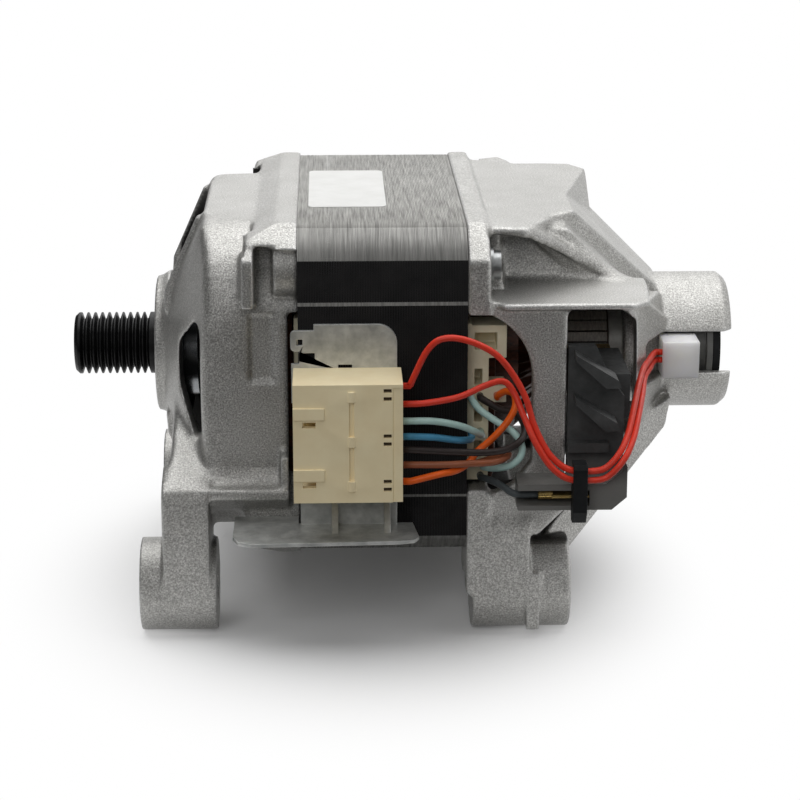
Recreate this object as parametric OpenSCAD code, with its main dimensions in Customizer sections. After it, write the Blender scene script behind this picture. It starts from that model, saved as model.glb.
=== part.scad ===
// Washing machine motor: a two-pole universal motor with die-cast end shields.
// Millimetres. The origin is the middle of the belt pulley, +X runs along the shaft to the tacho end,
// +Y runs away from the connector side and +Z is up.

/* [Stator stack] */
// Distance from the middle of the pulley to the stack
stack_x = 61.7; // [60:0.1:64]
// Length of the stack along the shaft
stack_l = 52; // [50:0.5:54]
// Width of the stack across the two poles
stack_w = 148; // [147:0.5:149]
// Height of the stack
stack_h = 105; // [103:0.5:107]
// Width of the flat top of the stack
stack_flat = 122; // [116:1:126]
// Height of the flat sides of the stack
stack_side = 88; // [84:1:92]
// Bore of the stack
stack_bore = 67.4; // [66:0.2:69]
// Height of the slots that hold the field coils, out to their yoke
slot_top = 38; // [37:0.5:39]
// Half width across the two field coil slots
slot_reach = 58; // [57:0.5:59]
// Half height of a pole body
pole_half = 23; // [21:0.5:24]

/* [Rotor] */
// Gap between the rotor and the bore of the stack
air_gap = 0.4; // [0.3:0.1:0.8]
// Number of rotor slots
rotor_slots = 16; // [12:1:20]
// Number of commutator bars
bars = 32; // [24:1:36]
// Outer diameter of the commutator
commutator_d = 38; // [36:0.5:40]
// Length of the commutator's brush track
commutator_l = 14; // [13:0.5:15]
// Distance from the stack to the brush track
commutator_set = 35.3; // [34:0.1:37]
// Diameter of the shaft in the rotor stack
shaft_d = 17; // [16:0.5:18]
// Diameter of the shaft at the tacho magnet
tacho_shaft_d = 8; // [7:0.5:9]
// Outer diameter of the cooling fan
fan_d = 66; // [60:1:68]
// Number of fan blades
fan_blades = 11; // [8:1:14]

/* [Belt pulley] */
// Diameter over the pulley ribs
pulley_d = 20.6; // [19:0.2:22]
// Length of the pulley
pulley_l = 27; // [26:0.2:27.4]
// Pitch of the pulley ribs
rib_pitch = 2.34; // [2.2:0.01:2.5]
// Depth of the pulley grooves
rib_depth = 2.1; // [1.6:0.1:2.4]
// Number of pulley ribs
ribs = 10; // [6:1:10]

/* [Bearings] */
// Bore of the drive-end bearing
front_bore = 15; // [14:0.5:16]
// Outer diameter of the drive-end bearing
front_od = 35; // [33:0.5:36]
// Width of the drive-end bearing
front_w = 11; // [10:0.5:12]
// Balls in the drive-end bearing
front_balls = 8; // [7:1:9]
// Bore of the tacho-end bearing
rear_bore = 12; // [11:0.5:13]
// Outer diameter of the tacho-end bearing
rear_od = 32; // [30:0.5:33]
// Width of the tacho-end bearing
rear_w = 10; // [9:0.5:11]
// Balls in the tacho-end bearing
rear_balls = 7; // [6:1:8]

/* [Drive-end shield] */
// Diameter of the drive-end hub
hub_d = 45.2; // [43:0.2:48]
// Distance from the middle of the pulley to the hub's front face
hub_x = 14; // [13.8:0.1:15]
// Width of the bell
bell_w = 132; // [128:1:136]
// Height of the bell
bell_h = 100; // [96:1:103]
// Radius of the bell's long corners
bell_r = 30; // [24:1:34]
// Wall of the die-cast shields
cast_wall = 3.6; // [3:0.1:4.2]

/* [Feet] */
// Distance between the two feet of a shield
foot_pitch = 120; // [116:1:124]
// Height of the shaft above the middle of the feet
foot_drop = 63.8; // [62:0.2:66]
// Diameter of a foot boss
foot_d = 29.6; // [28:0.2:31]
// Bore of a foot
foot_bore = 10.5; // [8.5:0.5:14]
// Length of a drive-end foot boss
front_foot_l = 24.2; // [22:0.2:26]
// Length of a tacho-end foot boss
rear_foot_l = 31.2; // [29:0.2:33]

/* [Through-bolts] */
// Diameter of the through-bolts
bolt_d = 5; // [4:0.5:6]
// Distance between the bolts across the poles
bolt_pitch_y = 124; // [122:0.5:126]
// Distance between the bolts in height
bolt_pitch_z = 80; // [78:0.5:82]
// Diameter of a bolt head
bolt_head_d = 11; // [9:0.5:12]

/* [Commutator-end shield] */
// Thickness of the flange on the stack
flange_t = 7; // [6:0.5:8]
// Height of the top plate above the shaft
roof_z = 51.5; // [50.5:0.1:52]
// Length of the top plate from the stack
roof_l = 47; // [45:0.5:49]
// Height of the brush window's ledge above the shaft
ledge_z = 31; // [30:0.5:32]
// Length of the ledge from the stack
ledge_l = 56; // [54:0.5:58]
// Distance from the middle to the outer edge of the ledge
ledge_reach = 77; // [75:0.5:78]
// Distance from the stack to the column's far edge
column_x = 30.5; // [30:0.1:31]
// Width of the column
column_w = 10.5; // [10:0.1:11]
// Diameter of the tacho hub
tacho_hub_d = 45.4; // [44.6:0.2:47]
// Length of the tacho hub
tacho_hub_l = 23; // [22.5:0.1:24]
// Distance from the stack to the tacho hub
tacho_hub_set = 67.5; // [66.5:0.1:69]

/* [Brushes] */
// Length of a carbon brush
brush_l = 30; // [26:1:32]
// Width of a carbon brush along the shaft
brush_w = 12.5; // [11:0.5:13]
// Thickness of a carbon brush
brush_t = 6.5; // [5:0.5:7]
// Outward travel of a brush
brush_travel = 8; // [6:0.5:9]
// Curls in a brush spring
spring_curls = 6; // [4:1:7]

/* [Connector] */
// Width of the connector housing
housing_w = 33; // [30:0.5:36]
// Height of the connector housing
housing_h = 37; // [34:0.5:40]
// Depth of the connector housing
housing_t = 19.8; // [18:0.2:22]
// Thickness of the bracket sheet
sheet_t = 1.2; // [0.8:0.1:1.5]
// Number of contacts in the connector
contacts = 6; // [4:1:7]

/* [Leads] */
// Diameter of the motor leads
lead_d = 2.2; // [1.6:0.1:2.4]
// Diameter of the tacho leads
red_d = 2; // [1.4:0.1:2.2]

/* [Hidden] */
$fn = 64;
// Radial gap of a press fit or a seat
fit = 0.02;
// Gap of a running or sliding fit
slide = 0.1;
// Gap between pieces that only lie beside each other
clear = 0.3;
// Overrun of a cut past the face that it opens
cut = 1;
far = 400;

stack_end = stack_x + stack_l;
side_y = stack_w / 2;
bolt_y = bolt_pitch_y / 2;
bolt_z = bolt_pitch_z / 2;
foot_y = foot_pitch / 2;
bolt_hole_d = bolt_d + 2 * slide;

// Rotor and shaft stations along X
rotor_d = stack_bore - 2 * air_gap;
pulley_x = -pulley_l / 2;
pulley_bore = 12;
front_seat_x = hub_x + 3;
front_seat_end = front_seat_x + front_w;
fan_x = front_seat_end + 5;
fan_l = 11;
commutator_x = stack_end + commutator_set;
commutator_end = commutator_x + commutator_l;
riser_l = 3;
collar_d = 27;
collar_l = 6;
tacho_hub_x = stack_end + tacho_hub_set;
tacho_hub_end = tacho_hub_x + tacho_hub_l;
rear_seat_x = tacho_hub_x - rear_w - 1;
rear_seat_end = rear_seat_x + rear_w;
washer_t = 0.8;
magnet_x = rear_seat_end + 6;
magnet_l = 11;
magnet_d = 17;

// Field coils
coil_gap = 0.6;
coil_y0 = 41;
coil_y1 = slot_reach - 3;
coil_end_l = 8;
frame_t = 1.5;
frame_back = coil_y1 + clear;
frame_front = side_y - 7.5;

// Brushes lie along Y at the middle of the brush track
brush_x = commutator_x + commutator_l / 2;
brush_y0 = commutator_d / 2 + clear;
brush_y1 = brush_y0 + brush_l;
guide_wall = 0.8;
guide_y0 = brush_y0 + 3;
spring_l = brush_travel + 5;
guide_y1 = brush_y1 + spring_l;
spring_wire = 0.7;
spring_r = 2.2;

// Connector stack in front of the stator
sheet_y = -side_y;
housing_y = sheet_y - sheet_t;
housing_x = stack_end - 53.5;
housing_z = 11.2;

// Commutator-end shield stations
flange_x = stack_end + flange_t;
roof_x = stack_end + roof_l;
roof_t = 2.6;
ledge_t = 2;
ledge_x = stack_end + ledge_l;
column_end = stack_end + column_x;
column_start = column_end - column_w;
column_t = 5;
rear_foot_x = stack_end + 2.1;
front_foot_x = hub_x - 3;

// Extrusions along the three axes: 2D (a, b) becomes (y, z) along X, (x, z) along Y and (x, y) along Z
module along_x(x0, len) { translate([x0, 0, 0]) rotate([90, 0, 90]) linear_extrude(len) children(); }
module along_y(y0, len) { translate([0, y0 + len, 0]) rotate([90, 0, 0]) linear_extrude(len) children(); }
module along_z(z0, len) { translate([0, 0, z0]) linear_extrude(len) children(); }
module rod_x(x0, len, r) { translate([x0, 0, 0]) rotate([0, 90, 0]) cylinder(h = len, r = r); }
module tube_x(x0, len, r_out, r_in) {
    difference() {
        rod_x(x0, len, r_out);
        rod_x(x0 - cut, len + 2 * cut, r_in);
    }
}
module cone_x(x0, len, r0, r1) {
    translate([x0, 0, 0]) rotate([0, 90, 0]) cylinder(h = len, r1 = r0, r2 = r1);
}
module box(a, b) { translate(a) cube(b - a); }
module both_y() { children(); mirror([0, 1, 0]) children(); }
module both_z() { children(); mirror([0, 0, 1]) children(); }
module round_rect(w, h, r) {
    square([w - 2 * r, h], center = true);
    square([w, h - 2 * r], center = true);
    for (a = [-1, 1], b = [-1, 1]) translate([a * (w / 2 - r), b * (h / 2 - r)]) circle(r);
}
// Outline of the stack with its four cut corners, each of two facets
corner_kink = 0.4;
module stack_outline(grow = 0) {
    w = side_y + grow;
    h = stack_h / 2 + grow;
    f = stack_flat / 2;
    s = stack_side / 2;
    m = (f + w) / 2;
    k = (h + s) / 2 + corner_kink;
    polygon([[f, h], [m, k], [w, s], [w, -s], [m, -k], [f, -h],
             [-f, -h], [-m, -k], [-w, -s], [-w, s], [-m, k], [-f, h]]);
}

// The bell of the drive-end shield: a rounded box whose front tapers to the hub, moved in by an inset
nose_x = hub_x + 3.6;
top_shoulder_x = nose_x + 13;
side_shoulder_x = nose_x + 13.4;
bell_cone_l = 17;
top_taper = 6;
module bell_form(inset) {
    lean = 1.2 * inset;
    nose_r = hub_d / 2 - inset + 1;
    half_h = bell_h / 2 - inset;
    half_w = bell_w / 2 - inset;
    end = stack_x + (inset > 0 ? cut : 0);
    intersection() {
        along_x(nose_x + lean, end - nose_x - lean)
            round_rect(2 * half_w, 2 * half_h, bell_r - inset);
        along_y(-far / 2, far)
            polygon([[nose_x + lean, nose_r - top_taper], [top_shoulder_x + 1 + lean, half_h], [end, half_h],
                     [end, -half_h], [top_shoulder_x + 1 + lean, -half_h],
                     [nose_x + lean, -nose_r + top_taper]]);
        along_z(-far / 2, far)
            polygon([[nose_x + lean, nose_r], [side_shoulder_x + lean, half_w], [end, half_w],
                     [end, -half_w], [side_shoulder_x + lean, -half_w], [nose_x + lean, -nose_r]]);
        union() {
            cone_x(nose_x + lean, bell_cone_l, nose_r + 3, side_y - inset);
            rod_x(nose_x + lean + bell_cone_l - cut / 10, far, far);
        }
    }
}

// The four feet: round bosses across the legs
module foot_bosses(x0, len) {
    both_y() translate([0, foot_y, -foot_drop]) rod_x(x0, len, foot_d / 2);
}

vent_y = 23;
vent_top = 23;
vent_low = 22.6;
vent_x = nose_x + 6.1;
lug_l = 17;
lug_wall = 3.7;
lug_y = coil_y1 + 1;
lug_z = 29;
boss_l = 7.5;
bolt_bite = 6.5;
boss_r = 9;
low_lug_y = bolt_y + 4.4;
side_gap = 3.3;
rim_l = 6.2;
rim_ramp = 8;
leg_x = nose_x + 1;
leg_l = 14.8;
arm_l = 12.4;
rib_t = 3.5;
// A bolt lug: a corner block below the bell's top
module lug_block(reach) {
    intersection() {
        along_x(stack_x - lug_l, lug_l) stack_outline(0);
        box([0, lug_y, lug_z], [far, reach, bell_h / 2 - 0.5]);
    }
}
// The upper lugs are an end wall, a cover and a round boss, with an open pocket between them
module open_lug() {
    intersection() {
        lug_block(far);
        union() {
            box([0, 0, 0], [stack_x - lug_l + lug_wall, far, far]);
            box([0, 0, bolt_z + boss_r - 0.6], [far, far, far]);
            box([0, 0, 0], [far, lug_y + 2, far]);
            translate([0, bolt_y, bolt_z]) rod_x(stack_x - boss_l, boss_l, boss_r);
            box([stack_x - boss_l, 0, bolt_z - boss_r], [far, bolt_y, far]);
        }
    }
}
// One leg seen along the shaft: the arm that slopes out from the hub, and the plate down to the foot
module front_arm() {
    polygon([[-14, -18], [-hub_d / 2 + 2, -4], [-side_y + 4, -26.5], [-side_y + 0.4, -29], [-side_y + 2, -48],
             [-foot_y + 8, -52], [-20, -26]]);
}
module front_leg() {
    out = foot_y + foot_d / 2;
    polygon([[-out, -foot_drop], [-out, -33], [-side_y + 0.4, -29], [-side_y + 4, -27], [-foot_y, -24],
             [-38, -34], [-foot_y + foot_d / 2, -46], [-foot_y + foot_d / 2, -foot_drop]]);
}
module drive_end_shield() color("#a9abad") difference() {
    union() {
        bell_form(0);
        rod_x(hub_x, front_seat_end - hub_x + 3, hub_d / 2);
        cone_x(hub_x + 1.6, 5.4, hub_d / 2, hub_d / 2 + 3.5);
        // raised rim against the stack, with its ramp
        both_z() intersection() {
            along_y(-far / 2, far)
                polygon([[stack_x - rim_l - rim_ramp, bell_h / 2 - 2],
                         [stack_x - rim_l - rim_ramp, bell_h / 2],
                         [stack_x - rim_l, stack_h / 2 + 1], [stack_x, stack_h / 2 + 1],
                         [stack_x, bell_h / 2 - cast_wall]]);
            along_x(stack_x - rim_l - rim_ramp - cut, far) stack_outline(1);
        }
        // bolt lugs at the four corners of the stack
        both_y() open_lug();
        both_y() mirror([0, 0, 1]) lug_block(low_lug_y);
        // ribs beside the top and bottom vents
        both_y() both_z() along_y(vent_y, rib_t)
            polygon([[nose_x, hub_d / 2 - 6], [nose_x + 0.6, hub_d / 2 + 1.5],
                     [top_shoulder_x - 1.4, bell_h / 2 - 1.4], [top_shoulder_x + 2, bell_h / 2 - 1.2],
                     [top_shoulder_x + 5, bell_h / 2 - 1], [top_shoulder_x + 5, bell_h / 2 - 5],
                     [nose_x + 7, hub_d / 2 - 2]]);
        // arms, legs and feet
        both_y() along_x(leg_x + 2, arm_l - 2) front_arm();
        both_y() along_x(leg_x, leg_l) front_leg();
        foot_bosses(front_foot_x, front_foot_l);
        // rounded ledge along the foot of the side walls, and its end rib
        both_y() along_x(leg_x + arm_l, stack_x - side_gap - leg_x - arm_l)
            polygon([[-bell_w / 2 + 2, -24], [-bell_w / 2, -24], [-bell_w / 2 - 1.4, -26.6],
                     [-bell_w / 2 - 4, -28], [-side_y, -28.6], [-side_y, -31.5], [-bell_w / 2, -37],
                     [-bell_w / 2 + 8, -40]]);
        both_y() box([stack_x - side_gap - 2.4, bell_w / 2 - 1, -31],
                     [stack_x - side_gap, side_y - 1.2, -18]);
    }
    bell_form(cast_wall);
    // bearing seat and shaft opening
    rod_x(front_seat_x, far, front_od / 2 + fit);
    rod_x(hub_x - cut, far, front_bore / 2 + 4);
    // side vents, with pointed ends
    both_y() along_y(-far / 2, far / 2 - hub_d / 2)
        polygon([[vent_x, 10.4], [side_shoulder_x, vent_top], [side_shoulder_x, -vent_low], [vent_x, -3.4]]);
    // top and bottom vents
    both_z() box([nose_x + 1.5, -vent_y, hub_d / 2], [top_shoulder_x + 0.5, vent_y, far]);
    // shallow pockets in the side walls and gaps along the stack
    both_y() box([stack_x - 15.7, bell_w / 2 - 1.5, 4], [stack_x - 7, far, lug_z - 3]);
    both_y() box([stack_x - side_gap, bell_w / 2 - 2 * cast_wall, -lug_z + 3], [far, far, lug_z - 3]);
    // holes of the through-bolts and bores of the feet
    both_y() both_z() translate([0, bolt_y, bolt_z]) rod_x(stack_x - bolt_bite - clear, far, bolt_hole_d / 2);
    both_y() translate([0, foot_y, -foot_drop]) rod_x(hub_x - far / 2, far, foot_bore / 2);
}

// Commutator-end shield: an open frame of plates and arms between the stack and the tacho hub
recess_y = 45;
recess_x = flange_x + 4;
slope_y = 34;
end_wall_y = 17;
facet_tilt = 21.8;
facet_turn = 13.3;
wall_drop = 14;
module roof_plate() {
    difference() {
        union() {
            along_z(roof_z - roof_t, roof_t)
                polygon([[stack_end, -bolt_y + 2], [roof_x - 31, -bolt_y], [roof_x - 27, -bolt_y + 3],
                         [roof_x - 17, -recess_y + 5], [roof_x - 12, -recess_y + 15], [roof_x - 10, -8],
                         [roof_x, end_wall_y], [roof_x, 37], [roof_x - 5, 46.5], [roof_x - 12, 47.5],
                         [roof_x - 24, 48], [stack_end, bolt_y - 2]]);
            // end wall of the far half, down to the slope
            along_z(roof_z - wall_drop, wall_drop - 0.5)
                polygon([[roof_x - 16, -8], [roof_x - 10, -8], [roof_x, end_wall_y], [roof_x, 36],
                         [roof_x - 9, 36], [roof_x - 9, end_wall_y - 2]]);
        }
        // steep facet that ends the top plate
        translate([roof_x, end_wall_y, roof_z - wall_drop + 1]) rotate([0, -facet_tilt, -facet_turn])
            box([0, -far / 2, -far / 2], [far, far / 2, far / 2]);
    }
    // strip of wall from the flange to the recess, over the coil
    box([flange_x - 1, -recess_y, slot_top + 0.6], [recess_x + 1, -recess_y + 9, roof_z - 0.5]);
}
// Side view of the curved edge that drops from the top plate to the ledge
module arm_edge() {
    low = ledge_z - ledge_t;
    polygon([[recess_x, roof_z - 0.2], [roof_x - 29, roof_z - 0.2], [roof_x - 26, roof_z - 1],
             [roof_x - 22, roof_z - 3.7], [roof_x - 12, roof_z - 10.1], [roof_x - 4, roof_z - 14.5],
             [roof_x, roof_z - 17.1], [ledge_x - 2, ledge_z - 0.5], [ledge_x, low], [recess_x, low]]);
}
far_ledge_x = roof_x - 9;
module recess_wall() {
    intersection() {
        along_x(recess_x, far)
            polygon([[-recess_y + 9, roof_z], [-recess_y + 5, roof_z], [-recess_y, ledge_z],
                     [-recess_y, ledge_z - ledge_t], [-recess_y + 4, ledge_z - ledge_t],
                     [-recess_y + 8.5, roof_z - 10]]);
        along_y(-far / 2, far) arm_edge();
    }
    // the arm's broad top edge, wide at the top plate and narrow at the ledge
    intersection() {
        along_y(-far / 2, far) difference() {
            arm_edge();
            translate([-1, -3.2]) arm_edge();
        }
        along_z(0, far)
            polygon([[recess_x, -bolt_y + 4], [roof_x - 29, -bolt_y], [roof_x - 24, -bolt_y + 4],
                     [roof_x - 19, -recess_y - 7], [roof_x - 11, -recess_y - 2.5], [roof_x, -recess_y],
                     [ledge_x, -recess_y], [ledge_x, -recess_y + 7], [roof_x - 18, -recess_y + 9],
                     [recess_x, -recess_y + 9]]);
    }
}
// The same wall on the far side, kept below the broad slope
module far_wall() {
    intersection() {
        mirror([0, 1, 0]) recess_wall();
        along_y(-far / 2, far)
            polygon([[stack_end, far], [stack_end, 0], [far_ledge_x, 0], [far_ledge_x, ledge_z],
                     [roof_x - 18, roof_z - 6], [roof_x - 18, far]]);
    }
}
// A plate that drops at 45 degrees from the top plate to the hub, its side view cut to a plan
module slope(start_x, top, t) {
    run = tacho_hub_x + 3 - start_x;
    intersection() {
        along_y(-far / 2, far)
            polygon([[start_x - 10, top], [start_x, top], [start_x + run, top - run],
                     [start_x + run, top - run - t], [start_x - 10, top - t]]);
        along_z(0, far) children();
    }
}
module slopes() {
    // broad slope, its near edge running in towards the hub
    slope(roof_x - 11.5, roof_z, 7)
        polygon([[roof_x - 20, -recess_y + 3], [roof_x - 17, -recess_y + 5], [tacho_hub_x - 1, -10],
                 [tacho_hub_x + 4, -8], [tacho_hub_x + 4, slope_y], [roof_x - 20, slope_y]]);
    // valley between the slope and the arm
    slope(roof_x - 14.2, roof_z - 3.5, 5)
        polygon([[roof_x - 26, -recess_y - 3], [roof_x - 20, -recess_y - 1], [ledge_x - 2, -recess_y + 2],
                 [tacho_hub_x + 4, -16], [tacho_hub_x + 4, 0], [roof_x - 26, -recess_y + 16]]);
}
arch_x = stack_end - 1.7;
arch_z = 7;
fillet_r = 3;
module ledge(end_x) {
    along_z(ledge_z - ledge_t, ledge_t)
        polygon([[recess_x, -recess_y + 4], [end_x + 2, -recess_y + 4], [end_x + 2, -recess_y - 3],
                 [end_x, -ledge_reach + 5], [end_x - 5, -ledge_reach], [recess_x, -ledge_reach],
                 [flange_x + 2, -side_y], [flange_x - 1, -side_y], [flange_x - 1, -coil_y1 - 1],
                 [recess_x, -coil_y1 - 1]]);
}
module side_frames() {
    low = ledge_z - ledge_t - fillet_r;
    // ledge over the brush window, shorter on the far side
    ledge(ledge_x);
    mirror([0, 1, 0]) ledge(far_ledge_x);
    // column with the arch over the leads, spread at its foot
    along_y(-side_y, column_t) difference() {
        polygon([[stack_end, ledge_z], [column_end + fillet_r, ledge_z], [column_end + fillet_r, low],
                 [column_end, low], [column_end, -36], [column_end - 8, -44], [stack_end, -44],
                 [stack_end, -34], [column_start - 5.7, -27.5], [column_start, -20], [column_start, arch_z],
                 [stack_end, arch_z]]);
        translate([arch_x, arch_z]) circle(column_start - arch_x);
        translate([column_end + fillet_r, low]) circle(fillet_r);
    }
    // closed panel on the far side
    along_y(side_y - column_t, column_t)
        polygon([[stack_end, ledge_z], [column_end, ledge_z], [column_end, -36], [column_end - 8, -44],
                 [stack_end, -44]]);
}
// Cover over the corner of a field coil, between the flange and the ledge
cover_z = slot_top - 2.4;
cover_wall = 1.8;
module coil_cover() {
    y1 = coil_y1 + 2.5;
    top = cover_z + cover_wall;
    box([flange_x - 1, -y1, cover_z], [recess_x + 1, -recess_y + 4, top]);
    box([recess_x - 0.6, -y1, ledge_z - ledge_t], [recess_x + 1, -recess_y + 4, top]);
    box([flange_x - 1, -y1, ledge_z - ledge_t], [recess_x + 1, -coil_y1 - 2 * clear, top]);
}
cone_l = 12;
cone_r = 46;
cone_t = 4;
bearing_wall = 5;
bulkhead_t = 2.2;
hub_edge = 2.6;
module tacho_hub_body() {
    rod_x(rear_seat_x - 2, rear_w + 4, rear_od / 2 + bearing_wall);
    rod_x(tacho_hub_x - 1, tacho_hub_l + 1 - hub_edge, tacho_hub_d / 2);
    cone_x(tacho_hub_end - hub_edge, hub_edge, tacho_hub_d / 2, tacho_hub_d / 2 - 2.2);
    // cone wall between the hub and the brush windows
    intersection() {
        difference() {
            cone_x(tacho_hub_x - cone_l, cone_l, cone_r, tacho_hub_d / 2);
            cone_x(tacho_hub_x - cone_l - cone_t, cone_l, cone_r, tacho_hub_d / 2);
        }
        union() {
            box([0, -far, -20], [far, -tacho_hub_d / 2 + 9, 20]);
            box([0, tacho_hub_d / 2 - 9, -20], [far, far, 12]);
        }
    }
}
arm_foot_x = stack_end + 22;
module lower_arms() {
    // diagonal arms from the hub down to the feet
    intersection() {
        along_y(-far / 2, far)
            polygon([[tacho_hub_x + 3, -14], [tacho_hub_x + 1, -tacho_hub_d / 2 - 1],
                     [arm_foot_x, -foot_drop - 4.2], [arm_foot_x - 8, -foot_drop + 3.8],
                     [tacho_hub_x - 12, -20]]);
        both_y() along_z(-far / 2, far)
            polygon([[tacho_hub_x + 4, 6], [tacho_hub_x + 4, 22], [arm_foot_x - 2, foot_y + 4],
                     [arm_foot_x - 8, foot_y - 14]]);
    }
}
module rear_flange() {
    difference() {
        along_x(stack_end, flange_t) stack_outline(0.8);
        along_x(stack_end - cut, far) round_rect(2 * (side_y - 14), stack_h - 9, 12);
        both_y() box([stack_end - cut, coil_y1 + clear, -lug_z], [far, far, lug_z - 2]);
    }
    // corner pads that carry the bolt heads
    both_y() both_z() intersection() {
        along_x(stack_end, flange_t) stack_outline(0);
        box([stack_end, coil_y1 + 2 * clear, lug_z], [far, far, far]);
    }
    // lower rim of the flange
    along_z(-stack_h / 2, roof_t)
        polygon([[stack_end, -bolt_y], [stack_end + 20, -40], [stack_end + 20, 40], [stack_end, bolt_y]]);
}
leg_top = slot_top + 0.4;
module rear_leg() {
    out = foot_y + foot_d / 2;
    polygon([[-out, -foot_drop], [-out, -40], [-out + 1.5, -36], [-side_y + 4, -34], [-coil_y1 - 4, -34],
             [-coil_y1 - 4, -leg_top], [-34, -leg_top], [-foot_y + foot_d / 2, -52],
             [-foot_y + foot_d / 2, -foot_drop]]);
}
bar_x = stack_end + 19.1;
bar_w = 4.2;
module rear_legs() {
    both_y() along_x(stack_end, 20) rear_leg();
    foot_bosses(rear_foot_x, rear_foot_l);
    // flat bar on the outside of each boss
    both_y() box([bar_x, foot_y + 4, -foot_drop - 11.6],
                 [bar_x + bar_w, foot_y + foot_d / 2 + 0.4, -foot_drop + 7.5]);
}
plug_x = tacho_hub_x - 1.3;
plug_w = 12;
plug_h = 12.4;
plug_z = 0.6;
plug_front = 31;
lead_notch = 6.4;
slot_half = plug_h / 2 + 0.6;
screw_d = 3;
screw_x = column_end - 6;
tray_z0 = -31.8;
tray_z1 = -23.5;
screw_z = (tray_z0 + tray_z1) / 2 - 0.3;
module commutator_end_shield() color("#9c9ea0") difference() {
    union() {
        rear_flange();
        roof_plate();
        recess_wall();
        far_wall();
        slopes();
        side_frames();
        both_y() coil_cover();
        tacho_hub_body();
        lower_arms();
        rear_legs();
    }
    // bearing seat, open to the rotor, with a bulkhead behind it and the tacho chamber beyond
    rod_x(0, rear_seat_end + washer_t, rear_od / 2 + fit);
    rod_x(0, tacho_hub_end, rear_bore / 2 + 4);
    rod_x(rear_seat_end + washer_t + bulkhead_t, far, tacho_hub_d / 2 - cast_wall);
    // slot for the tacho plug, open at the end, and through both sides behind the cover
    box([plug_x - lead_notch, -far, plug_z - slot_half], [far, -rear_od / 2 - 2, plug_z + slot_half]);
    box([rear_seat_end + washer_t, -far, plug_z - slot_half], [far, -rear_bore / 2 - 3, plug_z + slot_half]);
    box([cover_x + cover_t + 0.2, -far, plug_z - slot_half], [far, far, plug_z + slot_half]);
    // holes of the through-bolts and the brush holders' screws, bores of the feet
    both_y() both_z() translate([0, bolt_y, bolt_z]) {
        rod_x(stack_end - cut, flange_t + 2 * cut, bolt_hole_d / 2);
        rod_x(flange_x, far, bolt_head_d / 2 + 0.6);
    }
    both_y() translate([screw_x, side_y - column_t - cut, screw_z]) rotate([-90, 0, 0])
        cylinder(h = column_t + 2 * cut, r = screw_d / 2 + fit);
    both_y() translate([0, foot_y, -foot_drop]) rod_x(hub_x, far, foot_bore / 2);
}

// Laminated stack with two poles, the slots of the field coils and the bolt holes
shoe_t = 31;
weld_r = 1.2;
side_step = 0.6;
step_z = ledge_z - 0.4;
module all_corners() { for (a = [0, 1], b = [0, 1]) mirror([a, 0]) mirror([0, b]) children(); }
module stator_core() color("#2b2b2d") along_x(stack_x, stack_l) difference() {
    stack_outline(0);
    circle(stack_bore / 2);
    square([44, 2 * slot_top], center = true);
    all_corners() {
        polygon([[20, slot_top], [slot_reach, slot_top], [slot_reach, pole_half], [coil_y0, pole_half],
                 [30, shoe_t], [20, shoe_t]]);
        translate([bolt_y, bolt_z]) circle(bolt_hole_d / 2);
        // grooves of the clamping welds along the corners
        translate([stack_flat / 2, stack_h / 2]) circle(weld_r);
        // step in the side
        translate([side_y - side_step, step_z]) square([far, far]);
    }
}

turn_gap = frame_t + 0.4;
module field_coil() color("#7a3b16") along_y(-coil_y1, coil_y1 - coil_y0)
    translate([stack_x + stack_l / 2, 0]) difference() {
        round_rect(stack_l + 2 * (turn_gap + coil_end_l), 2 * (slot_top - coil_gap), 11);
        round_rect(stack_l + 2 * turn_gap, 2 * (pole_half + coil_gap), 1.5);
    }
module near_field_coil() { field_coil(); }
module far_field_coil() { mirror([0, 1, 0]) field_coil(); }

// Cream terminal frame on the commutator end of a field coil: a plate on the pole and a ladder of pockets
ladder_t = 7;
ladder_low = -28;
ladder_top = 22;
pocket_pitch = 11.6;
pocket_h = 5.4;
pocket_z = 14.2;
tab_z = pocket_z - pocket_pitch;
socket_t = 12.5;
pole_plate = pole_half - 0.4;
module coil_frame() color("#d9cfb0") difference() {
    union() {
        box([stack_end, -frame_front, -pole_plate], [stack_end + frame_t, -coil_y0 - 2, pole_plate]);
        box([stack_end, -frame_front, ladder_low], [stack_end + ladder_t, -frame_back, ladder_top]);
        box([stack_end, -frame_front, pocket_z - 2.7], [stack_end + socket_t, -frame_back, ladder_top]);
        box([stack_end, -frame_front, tab_z - 5.4], [stack_end + socket_t, -frame_back, tab_z]);
    }
    for (i = [0 : 3]) box([stack_end + 2.6, -frame_front - cut, pocket_z - i * pocket_pitch],
                          [stack_end + (i == 0 ? socket_t - 3 : ladder_t - 2), -frame_back - 1.5,
                           pocket_z + pocket_h - i * pocket_pitch]);
}
module near_coil_frame() { coil_frame(); }
module far_coil_frame() { mirror([0, 1, 0]) coil_frame(); }

// Insulating plates on the poles, under the coil ends of the drive side
module drive_end_insulators() color("#d9cfb0") both_y()
    box([stack_x - frame_t, coil_y0 + 2, -pole_plate], [stack_x, slot_reach, pole_plate]);

head_flange = 1.2;
head_l = 3.6;
module through_bolts() color("#c3c6c9") both_y() both_z() translate([0, bolt_y, bolt_z]) {
    rod_x(stack_x - bolt_bite, flange_x - stack_x + bolt_bite, bolt_d / 2);
    rod_x(flange_x, head_flange, bolt_head_d / 2);
    difference() {
        rod_x(flange_x, head_l, bolt_head_d / 2 - 1);
        along_x(flange_x + 1.8, far) circle(2.6, $fn = 6);
    }
}

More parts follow.
